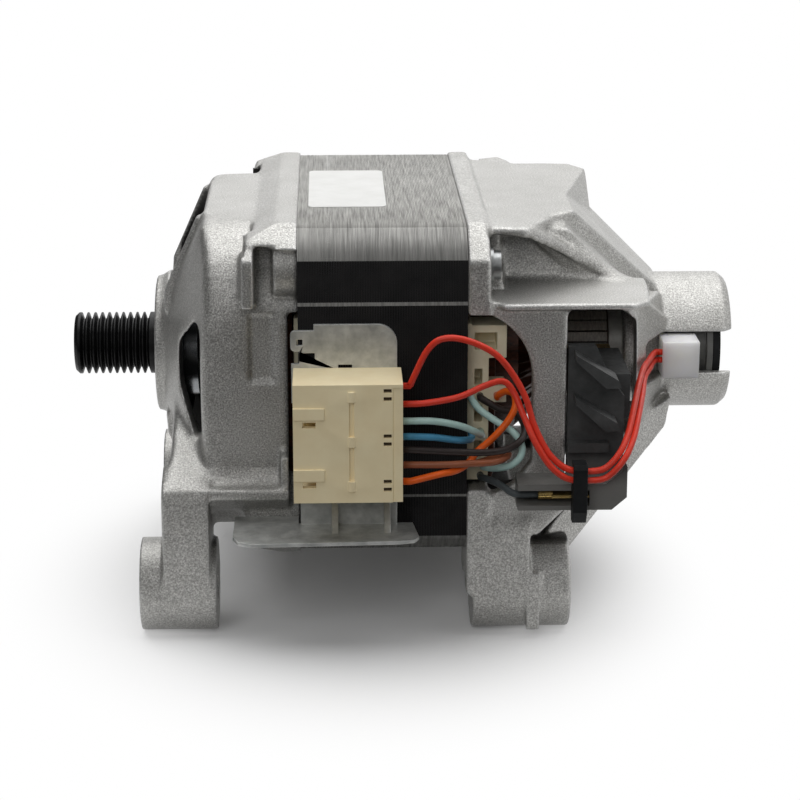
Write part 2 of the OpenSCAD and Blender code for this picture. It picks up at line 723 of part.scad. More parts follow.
// Connector bracket: one bent sheet, a plate on the stack above and a shelf below
shelf_z = -39.3;
shelf_x0 = housing_x - 19;
shelf_x1 = housing_x + housing_w + 5.2;
shelf_reach = side_y + 19.4;
plate_x0 = housing_x + 1.8;
plate_x1 = housing_x + housing_w - 1.2;
plate_top = 24.8;
plate_r = 6;
gusset_l = 9;
module connector_bracket() color("#b4b5b2") {
    along_y(sheet_y - sheet_t, sheet_t) difference() {
        union() {
            translate([plate_x0, shelf_z]) square([plate_x1 - plate_x0, plate_top - plate_r - shelf_z]);
            translate([plate_x0 + 4.5, shelf_z])
                square([plate_x1 - plate_r - plate_x0 - 4.5, plate_top - shelf_z]);
            translate([plate_x1 - plate_r, plate_top - plate_r]) circle(plate_r);
            translate([plate_x0 - 2.6, plate_top - 8.5]) corner_tab(12, 6.6, 1.5);
            translate([plate_x0 - 2.4, 0]) square([6, 12.5]);
        }
        translate([plate_x0 + 0.2, plate_top - 5.6]) square(1.8, center = true);
        translate([plate_x0 + 0.2, plate_top - 11.4]) square([4.6, 2.4]);
        translate([plate_x0 + 12, plate_top - 14.2]) square([4.2, 1.5]);
    }
    // shelf, wider to the drive side where it reaches in beside the stack
    along_z(shelf_z - sheet_t, sheet_t)
        polygon([[shelf_x0, -low_lug_y - 0.6], [shelf_x0, -shelf_reach + 7],
                 [shelf_x0 + 1.7, -shelf_reach + 2], [shelf_x0 + 5.7, -shelf_reach],
                 [shelf_x1 - 6, -shelf_reach + 1.8],
                 [shelf_x1 - 1.4, -shelf_reach + 3], [shelf_x1, -shelf_reach + 6], [shelf_x1 - 1.5, sheet_y],
                 [stack_x - clear, sheet_y], [stack_x - clear, -low_lug_y - 0.6]]);
    // pressed gussets across the fold
    for (x = [housing_x + 11.4, housing_x + 27.6]) along_x(x, 2)
        polygon([[sheet_y - sheet_t + 0.1, shelf_z + gusset_l], [sheet_y - sheet_t - gusset_l, shelf_z - 0.1],
                 [sheet_y - sheet_t + 0.1, shelf_z - 0.1]]);
}
module corner_tab(w, h, r) {
    translate([r, 0]) square([w - r, h]);
    translate([0, r]) square([w, h - 2 * r]);
    translate([r, r]) circle(r);
    translate([r, h - r]) circle(r);
}

// Cream connector housing with its socket to the left and lead entries to the right
socket_l = 15;
socket_wall = 2.4;
blade_t = 0.8;
blade_w = 6;
blade_seat = 6;
blade_pitch = (housing_h - 2 * socket_wall) / contacts;
module connector_housing() color("#d8cda6") {
    y0 = housing_y - housing_t;
    difference() {
        union() {
            box([housing_x, y0, housing_z - housing_h], [housing_x + housing_w, housing_y, housing_z]);
            // raised latch tabs
            for (z = [4, -15.2]) box([housing_x, y0 - 0.6, z - 3.6], [housing_x + 9.4, y0 + 1, z]);
        }
        // socket for the loom's plug
        box([housing_x - cut, y0 + socket_wall, housing_z - housing_h + socket_wall],
            [housing_x + socket_l, housing_y - socket_wall, housing_z - socket_wall]);
        // latch windows
        for (z = [-1.3, -20.1])
            box([housing_x + 2.8, y0 - cut, z - 0.9], [housing_x + 6.8, y0 + socket_wall + cut, z + 0.9]);
        // groove of the folding cover and pairs of small slots
        box([housing_x + 16.9, y0 - cut, -22], [housing_x + 18.3, y0 + 0.8, 8]);
        for (z = [9.2, 6.7, -4.9, -7.4, -19.2, -21.7])
            box([housing_x + 27.2, y0 - cut, z - 0.6], [housing_x + 29.6, y0 + 1.2, z + 0.6]);
        box([housing_x + housing_w - 3, y0 - cut, housing_z - housing_h - cut],
            [far, y0 + 0.5, housing_z - 1]);
        // seats of the blades
        for (i = [0 : contacts - 1]) blade(i, fit);
    }
    // hinge knobs of the folding cover
    for (z = [7.4, -6.6, -20.6]) translate([housing_x + 17.6, y0 + 0.8, z - 1.6]) cylinder(h = 3.2, r = 1.5);
}
module blade(i, grow) {
    z = housing_z - housing_h + socket_wall + blade_pitch * (i + 0.5);
    y = housing_y - housing_t / 2;
    box([housing_x + 3, y - blade_w / 2 - grow, z - blade_t / 2 - grow],
        [housing_x + socket_l + blade_seat, y + blade_w / 2 + grow, z + blade_t / 2 + grow]);
}
module connector_blades() color("#c9b458") for (i = [0 : contacts - 1]) blade(i, 0);

// Brush holder: a plate with the guide's sleeve, two fins, and the tray that carries the leads
sleeve_gap = 0.05;
sleeve_wall = 1.2;
holder_x0 = column_end + 0.5;
holder_x1 = brush_x + 6.2;
holder_t = 4;
tray_x0 = column_end - 15.5;
tray_front = side_y + 12;
tray_back = side_y + 2.5;
fin_l = 8;
module brush_holder() color("#2c2e30") {
    w = brush_w / 2 + slide + guide_wall + sleeve_wall;
    difference() {
        union() {
            along_y(-side_y, holder_t)
                polygon([[holder_x0, tray_z0], [holder_x1, tray_z0], [holder_x1, 1], [holder_x1 - 4, 6],
                         [holder_x1 - 9, 17], [holder_x0, 17]]);
            box([brush_x - w, -side_y + holder_t - 0.1, -7], [brush_x + w, -guide_y0 - 16, 7]);
            box([holder_x0, -side_y - 3.6, -16], [holder_x1 - 5, -side_y + 1, -13]);
        }
        guide_hollow(sleeve_gap);
    }
    // slanted fins in front of the plate
    for (z = [16.2, 2.6]) along_y(-side_y - fin_l, fin_l + 1)
        polygon([[holder_x0 + 1.6, z], [holder_x0 + 14.6, z - 8], [holder_x0 + 15.6, z - 10.4],
                 [holder_x0 + 11, z - 10.6], [holder_x0 + 1.6, z - 2]]);
    // tray, open to the front and to the left, with a raised block at its right end
    difference() {
        union() {
            box([tray_x0, -tray_front, tray_z0], [holder_x0 + 1, -side_y - fit, tray_z1]);
            along_y(-tray_front, tray_front - side_y + 1)
                polygon([[holder_x0, tray_z0], [holder_x1 - 4.6, tray_z0], [holder_x1, tray_z0 + 4],
                         [holder_x1, tray_z1 + 5.4], [holder_x1 - 6.5, tray_z1], [holder_x0, tray_z1]]);
        }
        box([tray_x0 - cut, -tray_front - cut, tray_z0 + 1.4], [holder_x0 + 6, -tray_back, tray_z1 - 2]);
        terminal(fit);
        translate([screw_x, -side_y + cut, screw_z]) rotate([90, 0, 0])
            cylinder(h = far, r = screw_d / 2 + slide);
    }
}
module near_brush_holder() { brush_holder(); }
module far_brush_holder() { mirror([0, 1, 0]) brush_holder(); }

// Brass guide: a rectangular tube, closed behind the spring
module guide_hollow(grow) {
    w = brush_w / 2 + slide + guide_wall + grow;
    t = brush_t / 2 + slide + guide_wall + grow;
    box([brush_x - w, -guide_y1 - guide_wall - grow, -t], [brush_x + w, -guide_y0 + cut * grow, t]);
}
module brush_guide() color("#c6a24a") difference() {
    guide_hollow(0);
    box([brush_x - brush_w / 2 - slide, -guide_y1, -brush_t / 2 - slide],
        [brush_x + brush_w / 2 + slide, -guide_y0 + cut, brush_t / 2 + slide]);
}
module near_brush_guide() { brush_guide(); }
module far_brush_guide() { mirror([0, 1, 0]) brush_guide(); }

// Carbon brush with its face hollowed to the commutator
module carbon_brush() color("#3a3a3c") difference() {
    box([brush_x - brush_w / 2, -brush_y1, -brush_t / 2],
        [brush_x + brush_w / 2, -brush_y0 + 1.2, brush_t / 2]);
    rod_x(0, far, brush_y0);
}
module near_carbon_brush() { carbon_brush(); }
module far_carbon_brush() { mirror([0, 1, 0]) carbon_brush(); }

// Swept tube: rings carried along a path without twist
function unit(v) = v / norm(v);
function tangent(p, i) = unit(p[min(i + 1, len(p) - 1)] - p[max(i - 1, 0)]);
function upright(n, t) = unit(n - (n * t) * t);
function carried(p, i) = i == 0
    ? upright(abs(tangent(p, 0)[2]) < 0.8 ? [0, 0, 1] : [0, 1, 0], tangent(p, 0))
    : upright(carried(p, i - 1), tangent(p, i));
function ring(p, i, r, sides) =
    let (t = tangent(p, i), n = carried(p, i), b = cross(t, n))
    [for (k = [0 : sides - 1]) p[i] + r * (cos(360 * k / sides) * n + sin(360 * k / sides) * b)];
module sweep(p, r, sides) {
    n = len(p);
    points = [for (i = [0 : n - 1]) each ring(p, i, r, sides)];
    walls = [for (i = [0 : n - 2], k = [0 : sides - 1], h = [0, 1])
        let (a = i * sides + k, b = i * sides + (k + 1) % sides)
        h == 0 ? [a, a + sides, b] : [b, a + sides, b + sides]];
    last = (n - 1) * sides;
    caps = concat([for (k = [1 : sides - 2]) [0, k, k + 1]],
                  [for (k = [1 : sides - 2]) [last, last + k + 1, last + k]]);
    polyhedron(points, concat(walls, caps));
}

// Brush spring: one helix between the brush and the closed end of its guide
spring_steps = 8;
spring_sides = 6;
spring_pitch = (spring_l - spring_wire - 2 * slide) / spring_curls;
function spring_path() = [for (i = [0 : spring_curls * spring_steps])
    let (a = 360 * i / spring_steps)
    [brush_x + spring_r * cos(a),
     -brush_y1 - spring_wire / 2 - slide - spring_pitch * i / spring_steps,
     spring_r * sin(a)]];
spring_self_gap = min([for (i = [0 : spring_steps], j = [i + spring_steps / 2 : 2 * spring_steps])
    norm(spring_path()[i] - spring_path()[j]) - spring_wire]);
echo(spring_self_gap = spring_self_gap);
module brush_spring() color("#b9bcc0") sweep(spring_path(), spring_wire / 2, spring_sides);
module near_brush_spring() { brush_spring(); }
module far_brush_spring() { mirror([0, 1, 0]) brush_spring(); }

// Brass tabs in the trays: a flat blade and the crimped barrel of the brush lead
blade_y = side_y + 8.3;
barrel_x = column_end - 9;
barrel_z = -27.8;
module terminal(grow) {
    box([barrel_x + 4, -blade_y - 2.7 - grow, barrel_z - 0.4 - grow],
        [holder_x0 + 7.5 + grow, -blade_y + 2.7 + grow, barrel_z + 0.4 + grow]);
}
module brush_terminals() color("#cbb069") both_y() {
    terminal(0);
    translate([0, -blade_y, barrel_z]) rod_x(barrel_x, 4.5, 1.5);
}

module brush_holder_screws() color("#c3c6c9") both_y() translate([screw_x, -tray_back, screw_z]) {
    rotate([-90, 0, 0]) cylinder(h = tray_back - side_y + 4, r = screw_d / 2);
    rotate([90, 0, 0]) cylinder(h = 1.8, r = screw_d / 2 + 0.8);
}

// Clip on the tray that holds the two tacho leads
clip_x = column_end + 0.8;
clip_w = 4.4;
module lead_clip() color("#232527") along_x(clip_x, clip_w) translate([-tray_front, 0]) difference() {
    polygon([[-fit, -15.5], [-5.6, -15.5], [-6.6, -17], [-6.6, -30.5], [-4, -34.6], [-0.4, -34.6],
             [-fit, -31]]);
    polygon([[cut, -16.8], [-5, -16.8], [-5.3, -17.4], [-5.3, -22.8], [cut, -22.8]]);
}

// Ball bearing: rings with grooves, balls and a ribbon cage
groove_gap = 0.05;
function pitch_r(b, d) = (b + d) / 4;
function ball_r(b, d) = (d - b) * 0.15;
module bearing_outer(x, b, d, w) color("#bfc4c8") difference() {
    tube_x(x, w, d / 2, pitch_r(b, d) + ball_r(b, d) * 0.62);
    ball_track(x, b, d, w);
}
module bearing_inner(x, b, d, w) color("#bfc4c8") difference() {
    tube_x(x, w, pitch_r(b, d) - ball_r(b, d) * 0.62, b / 2 + fit);
    ball_track(x, b, d, w);
}
module ball_track(x, b, d, w) {
    translate([x + w / 2, 0, 0]) rotate([0, 90, 0]) rotate_extrude()
        translate([pitch_r(b, d), 0]) circle(ball_r(b, d) + groove_gap);
}
module bearing_balls(x, b, d, w, n) color("#d6dadd") for (i = [0 : n - 1])
    translate([x + w / 2, 0, 0]) rotate([360 * i / n, 0, 0])
        translate([0, pitch_r(b, d), 0]) sphere(ball_r(b, d));
module bearing_cage(x, b, d, w, n) color("#8d6e3f") difference() {
    tube_x(x + w / 2 - ball_r(b, d) * 1.25, ball_r(b, d) * 2.5, pitch_r(b, d) + 0.5, pitch_r(b, d) - 0.5);
    for (i = [0 : n - 1]) translate([x + w / 2, 0, 0]) rotate([360 * i / n, 0, 0]) rotate([-90, 0, 0])
        cylinder(h = d, r = ball_r(b, d) + groove_gap);
}
module front_bearing_outer_ring() { bearing_outer(front_seat_x, front_bore, front_od, front_w); }
module front_bearing_inner_ring() { bearing_inner(front_seat_x, front_bore, front_od, front_w); }
module front_bearing_balls() { bearing_balls(front_seat_x, front_bore, front_od, front_w, front_balls); }
module front_bearing_cage() { bearing_cage(front_seat_x, front_bore, front_od, front_w, front_balls); }
module rear_bearing_outer_ring() { bearing_outer(rear_seat_x, rear_bore, rear_od, rear_w); }
module rear_bearing_inner_ring() { bearing_inner(rear_seat_x, rear_bore, rear_od, rear_w); }
module rear_bearing_balls() { bearing_balls(rear_seat_x, rear_bore, rear_od, rear_w, rear_balls); }
module rear_bearing_cage() { bearing_cage(rear_seat_x, rear_bore, rear_od, rear_w, rear_balls); }
module wave_washer() color("#a8adb2")
    tube_x(rear_seat_end, washer_t, rear_od / 2 - 0.3, rear_od / 2 - 2.4);

// Shaft in steps: pulley, drive-end bearing, rotor stack, tacho-end bearing, tacho magnet
module rotor_shaft() color("#c9cdd0") {
    rod_x(pulley_x + 2, front_seat_x - pulley_x - 2, pulley_bore / 2);
    rod_x(front_seat_x - 2, front_w + 2, front_bore / 2);
    rod_x(front_seat_end, commutator_end + collar_l - front_seat_end, shaft_d / 2);
    rod_x(commutator_end, rear_seat_end + 2 - commutator_end, rear_bore / 2);
    rod_x(rear_seat_end, magnet_x + magnet_l - rear_seat_end, tacho_shaft_d / 2);
}

// Poly-V pulley: a revolved profile with one V groove at each pitch
module belt_pulley() color("#17181a") translate([pulley_x, 0, 0]) rotate([0, 90, 0]) {
    rim = (pulley_l - ribs * rib_pitch) / 2;
    r = pulley_d / 2;
    rotate_extrude() difference() {
        translate([pulley_bore / 2 + fit, 0]) square([r - pulley_bore / 2 - fit, pulley_l]);
        for (i = [0 : ribs - 1]) translate([r, rim + rib_pitch * (i + 0.5)])
            polygon([[0.2, rib_pitch / 2 - 0.15], [-rib_depth, 0.2], [-rib_depth, -0.2],
                     [0.2, -rib_pitch / 2 + 0.15]]);
        translate([r, 0]) polygon([[0.2, -1], [0.2, 1.4], [-1.2, -0.1], [-1.2, -1]]);
    }
}

slot_r = 4;
module rotor_core() color("#4a4b4e") along_x(stack_x, stack_l) difference() {
    circle(rotor_d / 2);
    circle(shaft_d / 2 + fit);
    for (i = [0 : rotor_slots - 1]) rotate(360 * i / rotor_slots) {
        translate([rotor_d / 2 - slot_r - 2, 0]) circle(slot_r);
        translate([rotor_d / 2 - slot_r - 2, -1]) square([slot_r + 4, 2]);
    }
}

// Winding: conductors in the slots, a rounded bundle at each end and the cone of wires to the commutator
bundle_l = 15;
bundle_gap = 0.6;
module rotor_winding() color("#9a4a1c") {
    r = rotor_d / 2 - slot_r - 2;
    in = shaft_d / 2 + 1.5;
    out = rotor_d / 2 - 1.5;
    cone = commutator_x - riser_l - 2.4 - stack_end - bundle_gap;
    for (i = [0 : rotor_slots - 1]) rotate([360 * i / rotor_slots, 0, 0]) translate([0, r, 0])
        rod_x(stack_x - 3, stack_l + 6, slot_r - clear);
    translate([stack_x - bundle_gap, 0, 0]) rotate([0, -90, 0]) rotate_extrude()
        polygon([[in, 0], [out, 0], [out, 6], [out - 3.5, bundle_l - 3], [out - 8.5, bundle_l],
                 [in + 3.5, bundle_l], [in, bundle_l - 4]]);
    translate([stack_end + bundle_gap, 0, 0]) rotate([0, 90, 0]) rotate_extrude()
        polygon([[in, 0], [out, 0], [out, 6], [out - 3.5, bundle_l - 3], [out - 7, bundle_l + 1],
                 [commutator_d / 2 + 1.4, cone], [in, cone]]);
}

module cooling_fan() color("#1b1c1e") {
    tube_x(fan_x, fan_l, shaft_d / 2 + 5, shaft_d / 2 + fit);
    tube_x(fan_x + fan_l - 2, 2, fan_d / 2, shaft_d / 2 + fit);
    for (i = [0 : fan_blades - 1]) rotate([360 * i / fan_blades, 0, 0])
        box([fan_x + 1, shaft_d / 2 + 3, -0.8], [fan_x + fan_l - 1, fan_d / 2 - 1, 0.8]);
}

bar_slit = 0.6;
bar_depth = 4;
module commutator_moulding() color("#3b2a20")
    tube_x(commutator_x - riser_l - 2, commutator_l + riser_l + 3, commutator_d / 2 - bar_depth - fit,
           shaft_d / 2 + fit);
module commutator_bars() color("#6b5a48") difference() {
    union() {
        tube_x(commutator_x, commutator_l, commutator_d / 2, commutator_d / 2 - bar_depth);
        tube_x(commutator_x - riser_l, riser_l + fit, commutator_d / 2 + 1.6, commutator_d / 2 - bar_depth);
    }
    for (i = [0 : bars - 1]) rotate([360 * i / bars, 0, 0])
        box([0, 0, -bar_slit / 2], [far, commutator_d, bar_slit / 2]);
}
module commutator_collar() color("#d2d5d7")
    tube_x(commutator_end + 1 + fit, collar_l - 1, collar_d / 2, shaft_d / 2 + fit);

// Tacho: a ring magnet on the shaft, a coil round it, the lead plug and a cover
coil_ring_r = tacho_hub_d / 2 - cast_wall - fit;
coil_x = magnet_x - 2;
coil_l = magnet_l + 3;
cover_x = coil_x + coil_l;
cover_t = 2.5;
notch_y = coil_ring_r - 6;
module tacho_magnet() color("#4b4d50") tube_x(magnet_x, magnet_l, magnet_d / 2, tacho_shaft_d / 2 + fit);
module tacho_coil() color("#7d7f82") difference() {
    tube_x(coil_x, coil_l, coil_ring_r, magnet_d / 2 + 1);
    tube_x(coil_x + 2, coil_l - 4, far, coil_ring_r - 3);
    box([0, -far, plug_z - plug_h / 2 - clear],
        [plug_x + plug_w + clear, -notch_y, plug_z + plug_h / 2 + clear]);
}
module tacho_plug() color("#e9e6df") {
    box([plug_x, -plug_front, plug_z - plug_h / 2], [plug_x + plug_w, -coil_ring_r, plug_z + plug_h / 2]);
    box([coil_x + 1, -coil_ring_r - 1, plug_z - 4], [plug_x + plug_w, -notch_y, plug_z + 4]);
}
module tacho_cover() color("#141516") tube_x(cover_x, cover_t, coil_ring_r, 4);

// Leads: smooth tubes through points picked along their routes, measured from the corner of the stack
lead_sides = 8;
function spline(p, steps) = concat(
    [for (i = [0 : len(p) - 2], s = [0 : steps - 1])
        let (a = p[max(i - 1, 0)], b = p[i], c = p[i + 1], d = p[min(i + 2, len(p) - 1)], t = s / steps)
        b + t / 2 * ((c - a) + (2 * a - 5 * b + 4 * c - d) * t + (3 * b - a - 3 * c + d) * t * t)],
    [p[len(p) - 1]]);
function inner(p) = [for (i = [1 : len(p) - 2]) p[i]];
module lead(p, d) {
    path = concat([p[0]], spline(inner(p), 2), [p[len(p) - 1]]);
    translate([stack_end, -side_y, 0]) sweep(path, d / 2, lead_sides);
}

// Where the leads leave the housing, and where they meet the coil frame, the tacho plug and a terminal
exit_x = housing_x + housing_w - stack_end + fit;
frame_y = side_y - frame_front - fit;
plug_end = plug_x - stack_end - fit;
plug_in = side_y - plug_front + 2;
barrel_end = barrel_x - stack_end - fit;
barrel_y = side_y - blade_y;
red_upper_route = [[exit_x, -11, 8], [exit_x + 2.4, -11, 8], [-16.5, -11.6, 12], [-13, -13, 19.5],
    [-8.7, -14, 23.3], [-1.7, -14, 23], [7.1, -13, 18.6], [12.7, -12, 12], [17, -12, 4],
    [19.5, -13, -4], [23.5, -14.4, -12],
    [28, -14.9, -16.6], [32, -15, -18.2], [36, -15, -18.4], [41.3, -15, -17.4], [45.8, -13.5, -13],
    [48.9, -8, -8.5], [51.8, 2, -3], [54.6, 14, 0.6], [57.6, 26, 2.6], [plug_end - 5.6, plug_in - 10, 3],
    [plug_end - 3.6, plug_in - 3.4, 3], [plug_end - 2.1, plug_in, 3], [plug_end, plug_in, 3]];
red_lower_route = [[exit_x, -11, 2.3], [exit_x + 2.4, -11, 2.3], [-12.7, -11, 2.6], [-3.2, -11, 4.4],
    [4.7, -10, 7.6], [10.3, -9, 8.6], [13.6, -9.6, 5], [16.4, -12.6, -1.4], [19.6, -15.4, -8.6],
    [23.8, -16.4, -15.4],
    [28, -16.2, -19.4], [32, -15.8, -21], [36, -15.4, -21.2], [41.8, -15.4, -20.2], [47, -14.8, -14.8],
    [50.4, -9, -10], [53.2, 1, -5.2], [55.8, 13, -1.8], [58, 25.4, 0], [plug_end - 5.4, plug_in - 10.4, 0.4],
    [plug_end - 3.6, plug_in - 3.4, 0.4], [plug_end - 2.1, plug_in, 0.4], [plug_end, plug_in, 0.4]];
pale_blue_route = [[exit_x, -11, -3.1], [exit_x + 2.6, -11, -3.1], [-10.7, -10.8, -3.3], [-3, -8.6, -5.4],
    [2.3, -5, -8.6], [4.5, 0, -11.2], [4.5, frame_y - 2.6, -12], [4.5, frame_y, -12]];
blue_route = [[exit_x, -11, -8], [exit_x + 2.6, -11, -8], [-10.7, -10.2, -8.6], [-3.4, -7.4, -10.4],
    [0.6, -3, -11.6],
    [1.5, 1.6, -12], [1.5, frame_y - 2.6, -12], [1.5, frame_y, -12]];
black_route = [[exit_x, -11, -12.2], [exit_x + 2.6, -11, -12.2], [-3, -11.4, -13], [6, -10.6, -13.4],
    [12.4, -8.6, -12.8], [16.6, -6, -10.4], [17.4, -2.6, -7.4], [15, 0.6, -4.4], [10, 3.4, -3.6],
    [4.3, frame_y - 2.6, -0.5], [4.3, frame_y, -0.5]];
brown_route = [[exit_x, -11, -17], [exit_x + 2.6, -11, -17], [-9, -12, -16.8], [0, -12.4, -16.4],
    [7.4, -11, -16.4], [11.4, -7.8, -16], [12.4, -3.4, -16.4], [8.6, 0.6, -18.6], [4, 2.8, -20.8],
    [1.7, frame_y - 2.6, -21.8], [1.7, frame_y, -21.8]];
orange_route = [[exit_x, -12, -22], [exit_x + 2.6, -12, -22], [-9, -12.6, -19.6], [-4, -11, -19],
    [0, -7.6, -17.6],
    [3, -5.2, -14.6], [6.5, -5, -11.6], [9.4, -5, -8.6], [12.4, -4.6, -5], [14.4, -4, -1], [14.2, -2.4, 2.4],
    [12.2, 0.6, 2.8], [10.2, 3, 1.2], [9.6, frame_y - 2.6, -0.4], [9.6, frame_y, -0.4]];
pale_loop_route = [[1.3, frame_y, -0.5], [1.3, frame_y - 2.6, -0.5], [4, 2.4, -3.6], [9, 1.2, -7],
    [14, -1, -9.8],
    [16.6, -3.4, -13.2], [16.2, -5, -16.6], [13.4, -5.2, -19.2], [10, -3, -20.8], [7.4, 0.6, -22],
    [5.4, frame_y - 2.6, -23], [5.4, frame_y, -23]];
brush_route = [[4.6, frame_y, -26.4], [4.6, frame_y - 2.6, -26.4], [7, 0.6, -25.8], [10.4, -4.6, -26],
    [13, -7.6, -27.2], [15.4, barrel_y, barrel_z], [barrel_end - 2.6, barrel_y, barrel_z],
    [barrel_end, barrel_y, barrel_z]];
module red_lead_upper() color("#c92d1c") lead(red_upper_route, red_d);
module red_lead_lower() color("#c92d1c") lead(red_lower_route, red_d);
module pale_blue_lead() color("#b9dcd6") lead(pale_blue_route, lead_d);
module blue_lead() color("#3f86b0") lead(blue_route, lead_d);
module black_lead() color("#2a2422") lead(black_route, lead_d);
module brown_lead() color("#9a5636") lead(brown_route, lead_d);
module orange_lead() color("#f0601c") lead(orange_route, lead_d);
module pale_loop_lead() color("#b9dcd6") lead(pale_loop_route, lead_d);
module brush_lead() color("#4a4f50") lead(brush_route, lead_d);

drive_end_shield();
commutator_end_shield();
stator_core();
near_field_coil();
far_field_coil();
near_coil_frame();
far_coil_frame();
drive_end_insulators();
through_bolts();
connector_bracket();
connector_housing();
connector_blades();
near_brush_holder();
far_brush_holder();
near_brush_guide();
far_brush_guide();
near_carbon_brush();
far_carbon_brush();
near_brush_spring();
far_brush_spring();
brush_terminals();
brush_holder_screws();
lead_clip();
front_bearing_outer_ring();
front_bearing_inner_ring();
front_bearing_balls();
front_bearing_cage();
rear_bearing_outer_ring();
rear_bearing_inner_ring();
rear_bearing_balls();
rear_bearing_cage();
wave_washer();
rotor_shaft();
belt_pulley();
rotor_core();
rotor_winding();
cooling_fan();
commutator_moulding();
commutator_bars();
commutator_collar();
tacho_magnet();
tacho_coil();
tacho_plug();
tacho_cover();
red_lead_upper();
red_lead_lower();
pale_blue_lead();
blue_lead();
black_lead();
brown_lead();
orange_lead();
pale_loop_lead();
brush_lead();
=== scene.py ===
import math
import bmesh
import bpy
from mathutils import Matrix, Vector


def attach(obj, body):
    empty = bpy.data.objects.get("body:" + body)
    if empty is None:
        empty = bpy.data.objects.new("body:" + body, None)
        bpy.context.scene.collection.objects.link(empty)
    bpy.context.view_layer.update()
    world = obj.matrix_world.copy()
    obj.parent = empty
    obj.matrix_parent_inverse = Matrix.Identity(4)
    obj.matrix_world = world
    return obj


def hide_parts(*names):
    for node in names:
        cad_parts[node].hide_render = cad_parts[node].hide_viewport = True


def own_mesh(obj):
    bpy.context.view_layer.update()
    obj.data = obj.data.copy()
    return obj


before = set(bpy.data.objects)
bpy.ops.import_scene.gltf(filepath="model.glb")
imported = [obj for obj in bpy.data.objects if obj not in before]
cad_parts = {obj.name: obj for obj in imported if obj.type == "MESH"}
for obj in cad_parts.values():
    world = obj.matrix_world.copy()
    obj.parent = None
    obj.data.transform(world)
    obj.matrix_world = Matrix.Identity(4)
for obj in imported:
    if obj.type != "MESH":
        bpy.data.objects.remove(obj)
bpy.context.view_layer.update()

# Studio: a white floor under one broad soft lamp, with a weak fill from the front left. Two black cards out
# of the picture give the bright metal its dark sides.
# The camera stands on the connector side, a little above the shaft.
scene = bpy.context.scene
scene.view_settings.view_transform = "Standard"
turn, tilt = math.radians(-1.739), math.radians(16.081)
right = Vector((math.cos(turn), math.sin(turn), 0))
back = Vector((math.sin(turn) * math.cos(tilt), -math.cos(turn) * math.cos(tilt), math.sin(tilt)))
camera = bpy.data.objects.new("camera", bpy.data.cameras.new("camera"))
camera.matrix_world = Matrix((right, back.cross(right), back)).transposed().to_4x4()
camera.location = (0.07133, -0.78463, 0.20536)
camera.data.sensor_width = 36
camera.data.lens = 108.24
camera.data.clip_start, camera.data.clip_end = 0.05, 30
scene.collection.objects.link(camera)
scene.camera = camera


def soft_lamp(name, place, aim, size, watts):
    """A square soft box, turned towards what it lights."""
    lamp = bpy.data.objects.new(name, bpy.data.lights.new(name, "AREA"))
    lamp.data.shape, lamp.data.size, lamp.data.energy = "SQUARE", size, watts
    lamp.matrix_world = (Vector(place) - Vector(aim)).to_track_quat("Z", "Y").to_matrix().to_4x4()
    lamp.location = place
    scene.collection.objects.link(lamp)


soft_lamp("overhead_lamp", (0.10, 0.60, 1.30), (0.10, 0.60, 0), 2.6, 35)
soft_lamp("front_lamp", (-0.25, -1.4, 0.75), (0.09, 0, 0), 0.9, 6.5)


def dark_card(name, start, end, low, high):
    """A black card that stands from start to end and only shows as the dark side of bright metal."""
    mesh = bpy.data.meshes.new(name)
    mesh.from_pydata([(*start, low), (*end, low), (*end, high), (*start, high)], [], [(0, 1, 2, 3)])
    felt = bpy.data.materials.new(name)
    felt.use_nodes = True
    shader = felt.node_tree.nodes["Principled BSDF"]
    shader.inputs["Base Color"].default_value = (0.03, 0.03, 0.03, 1)
    shader.inputs["Roughness"].default_value = 0.9
    mesh.materials.append(felt)
    card = bpy.data.objects.new(name, mesh)
    scene.collection.objects.link(card)
    card.visible_camera = card.visible_diffuse = card.visible_shadow = card.visible_transmission = False


dark_card("front_card", (-0.7, -0.17), (0.2, -0.17), -0.0785, 0.5)
dark_card("left_card", (-0.4, -0.34), (-0.4, 1.5), -0.07, 0.6)


def feed(tree, value, socket):
    """Gives a socket a fixed value, or what another node puts out."""
    if hasattr(value, "is_output"):
        tree.links.new(value, socket)
    else:
        socket.default_value = value


def reckon(tree, operation, *values):
    """One step of arithmetic between nodes."""
    node = tree.nodes.new("ShaderNodeMath")
    node.operation = operation
    for value, socket in zip(values, node.inputs):
        feed(tree, value, socket)
    return node.outputs[0]


def spread(tree, value, low, high, start=0.3, end=0.7, kind="LINEAR"):
    """Runs from low to high while the value goes from start to end."""
    node = tree.nodes.new("ShaderNodeMapRange")
    node.interpolation_type = kind
    for socket, number in (("From Min", start), ("From Max", end), ("To Min", low), ("To Max", high)):
        node.inputs[socket].default_value = number
    tree.links.new(value, node.inputs["Value"])
    return node.outputs["Result"]


def place_of(tree):
    """Where a point lies on its piece."""
    return tree.nodes.new("ShaderNodeTexCoord").outputs["Object"]


def seen_rays(tree):
    """1 on rays that show the background: straight to the camera, or by reflection or glass."""
    path = tree.nodes.new("ShaderNodeLightPath")
    mirrored = reckon(tree, "MAXIMUM", path.outputs["Is Camera Ray"], path.outputs["Is Glossy Ray"])
    return reckon(tree, "MAXIMUM", mirrored, path.outputs["Is Transmission Ray"])


world = bpy.data.worlds.new("white_room")
world.use_nodes = True
scene.world = world
sky = world.node_tree
air = sky.nodes["Background"]
fill_light, white_air = 0.06, 1.0
air.inputs["Color"].default_value = (1, 1, 1, 1)
sky.links.new(spread(sky, seen_rays(sky), fill_light, white_air, 0, 1), air.inputs["Strength"])

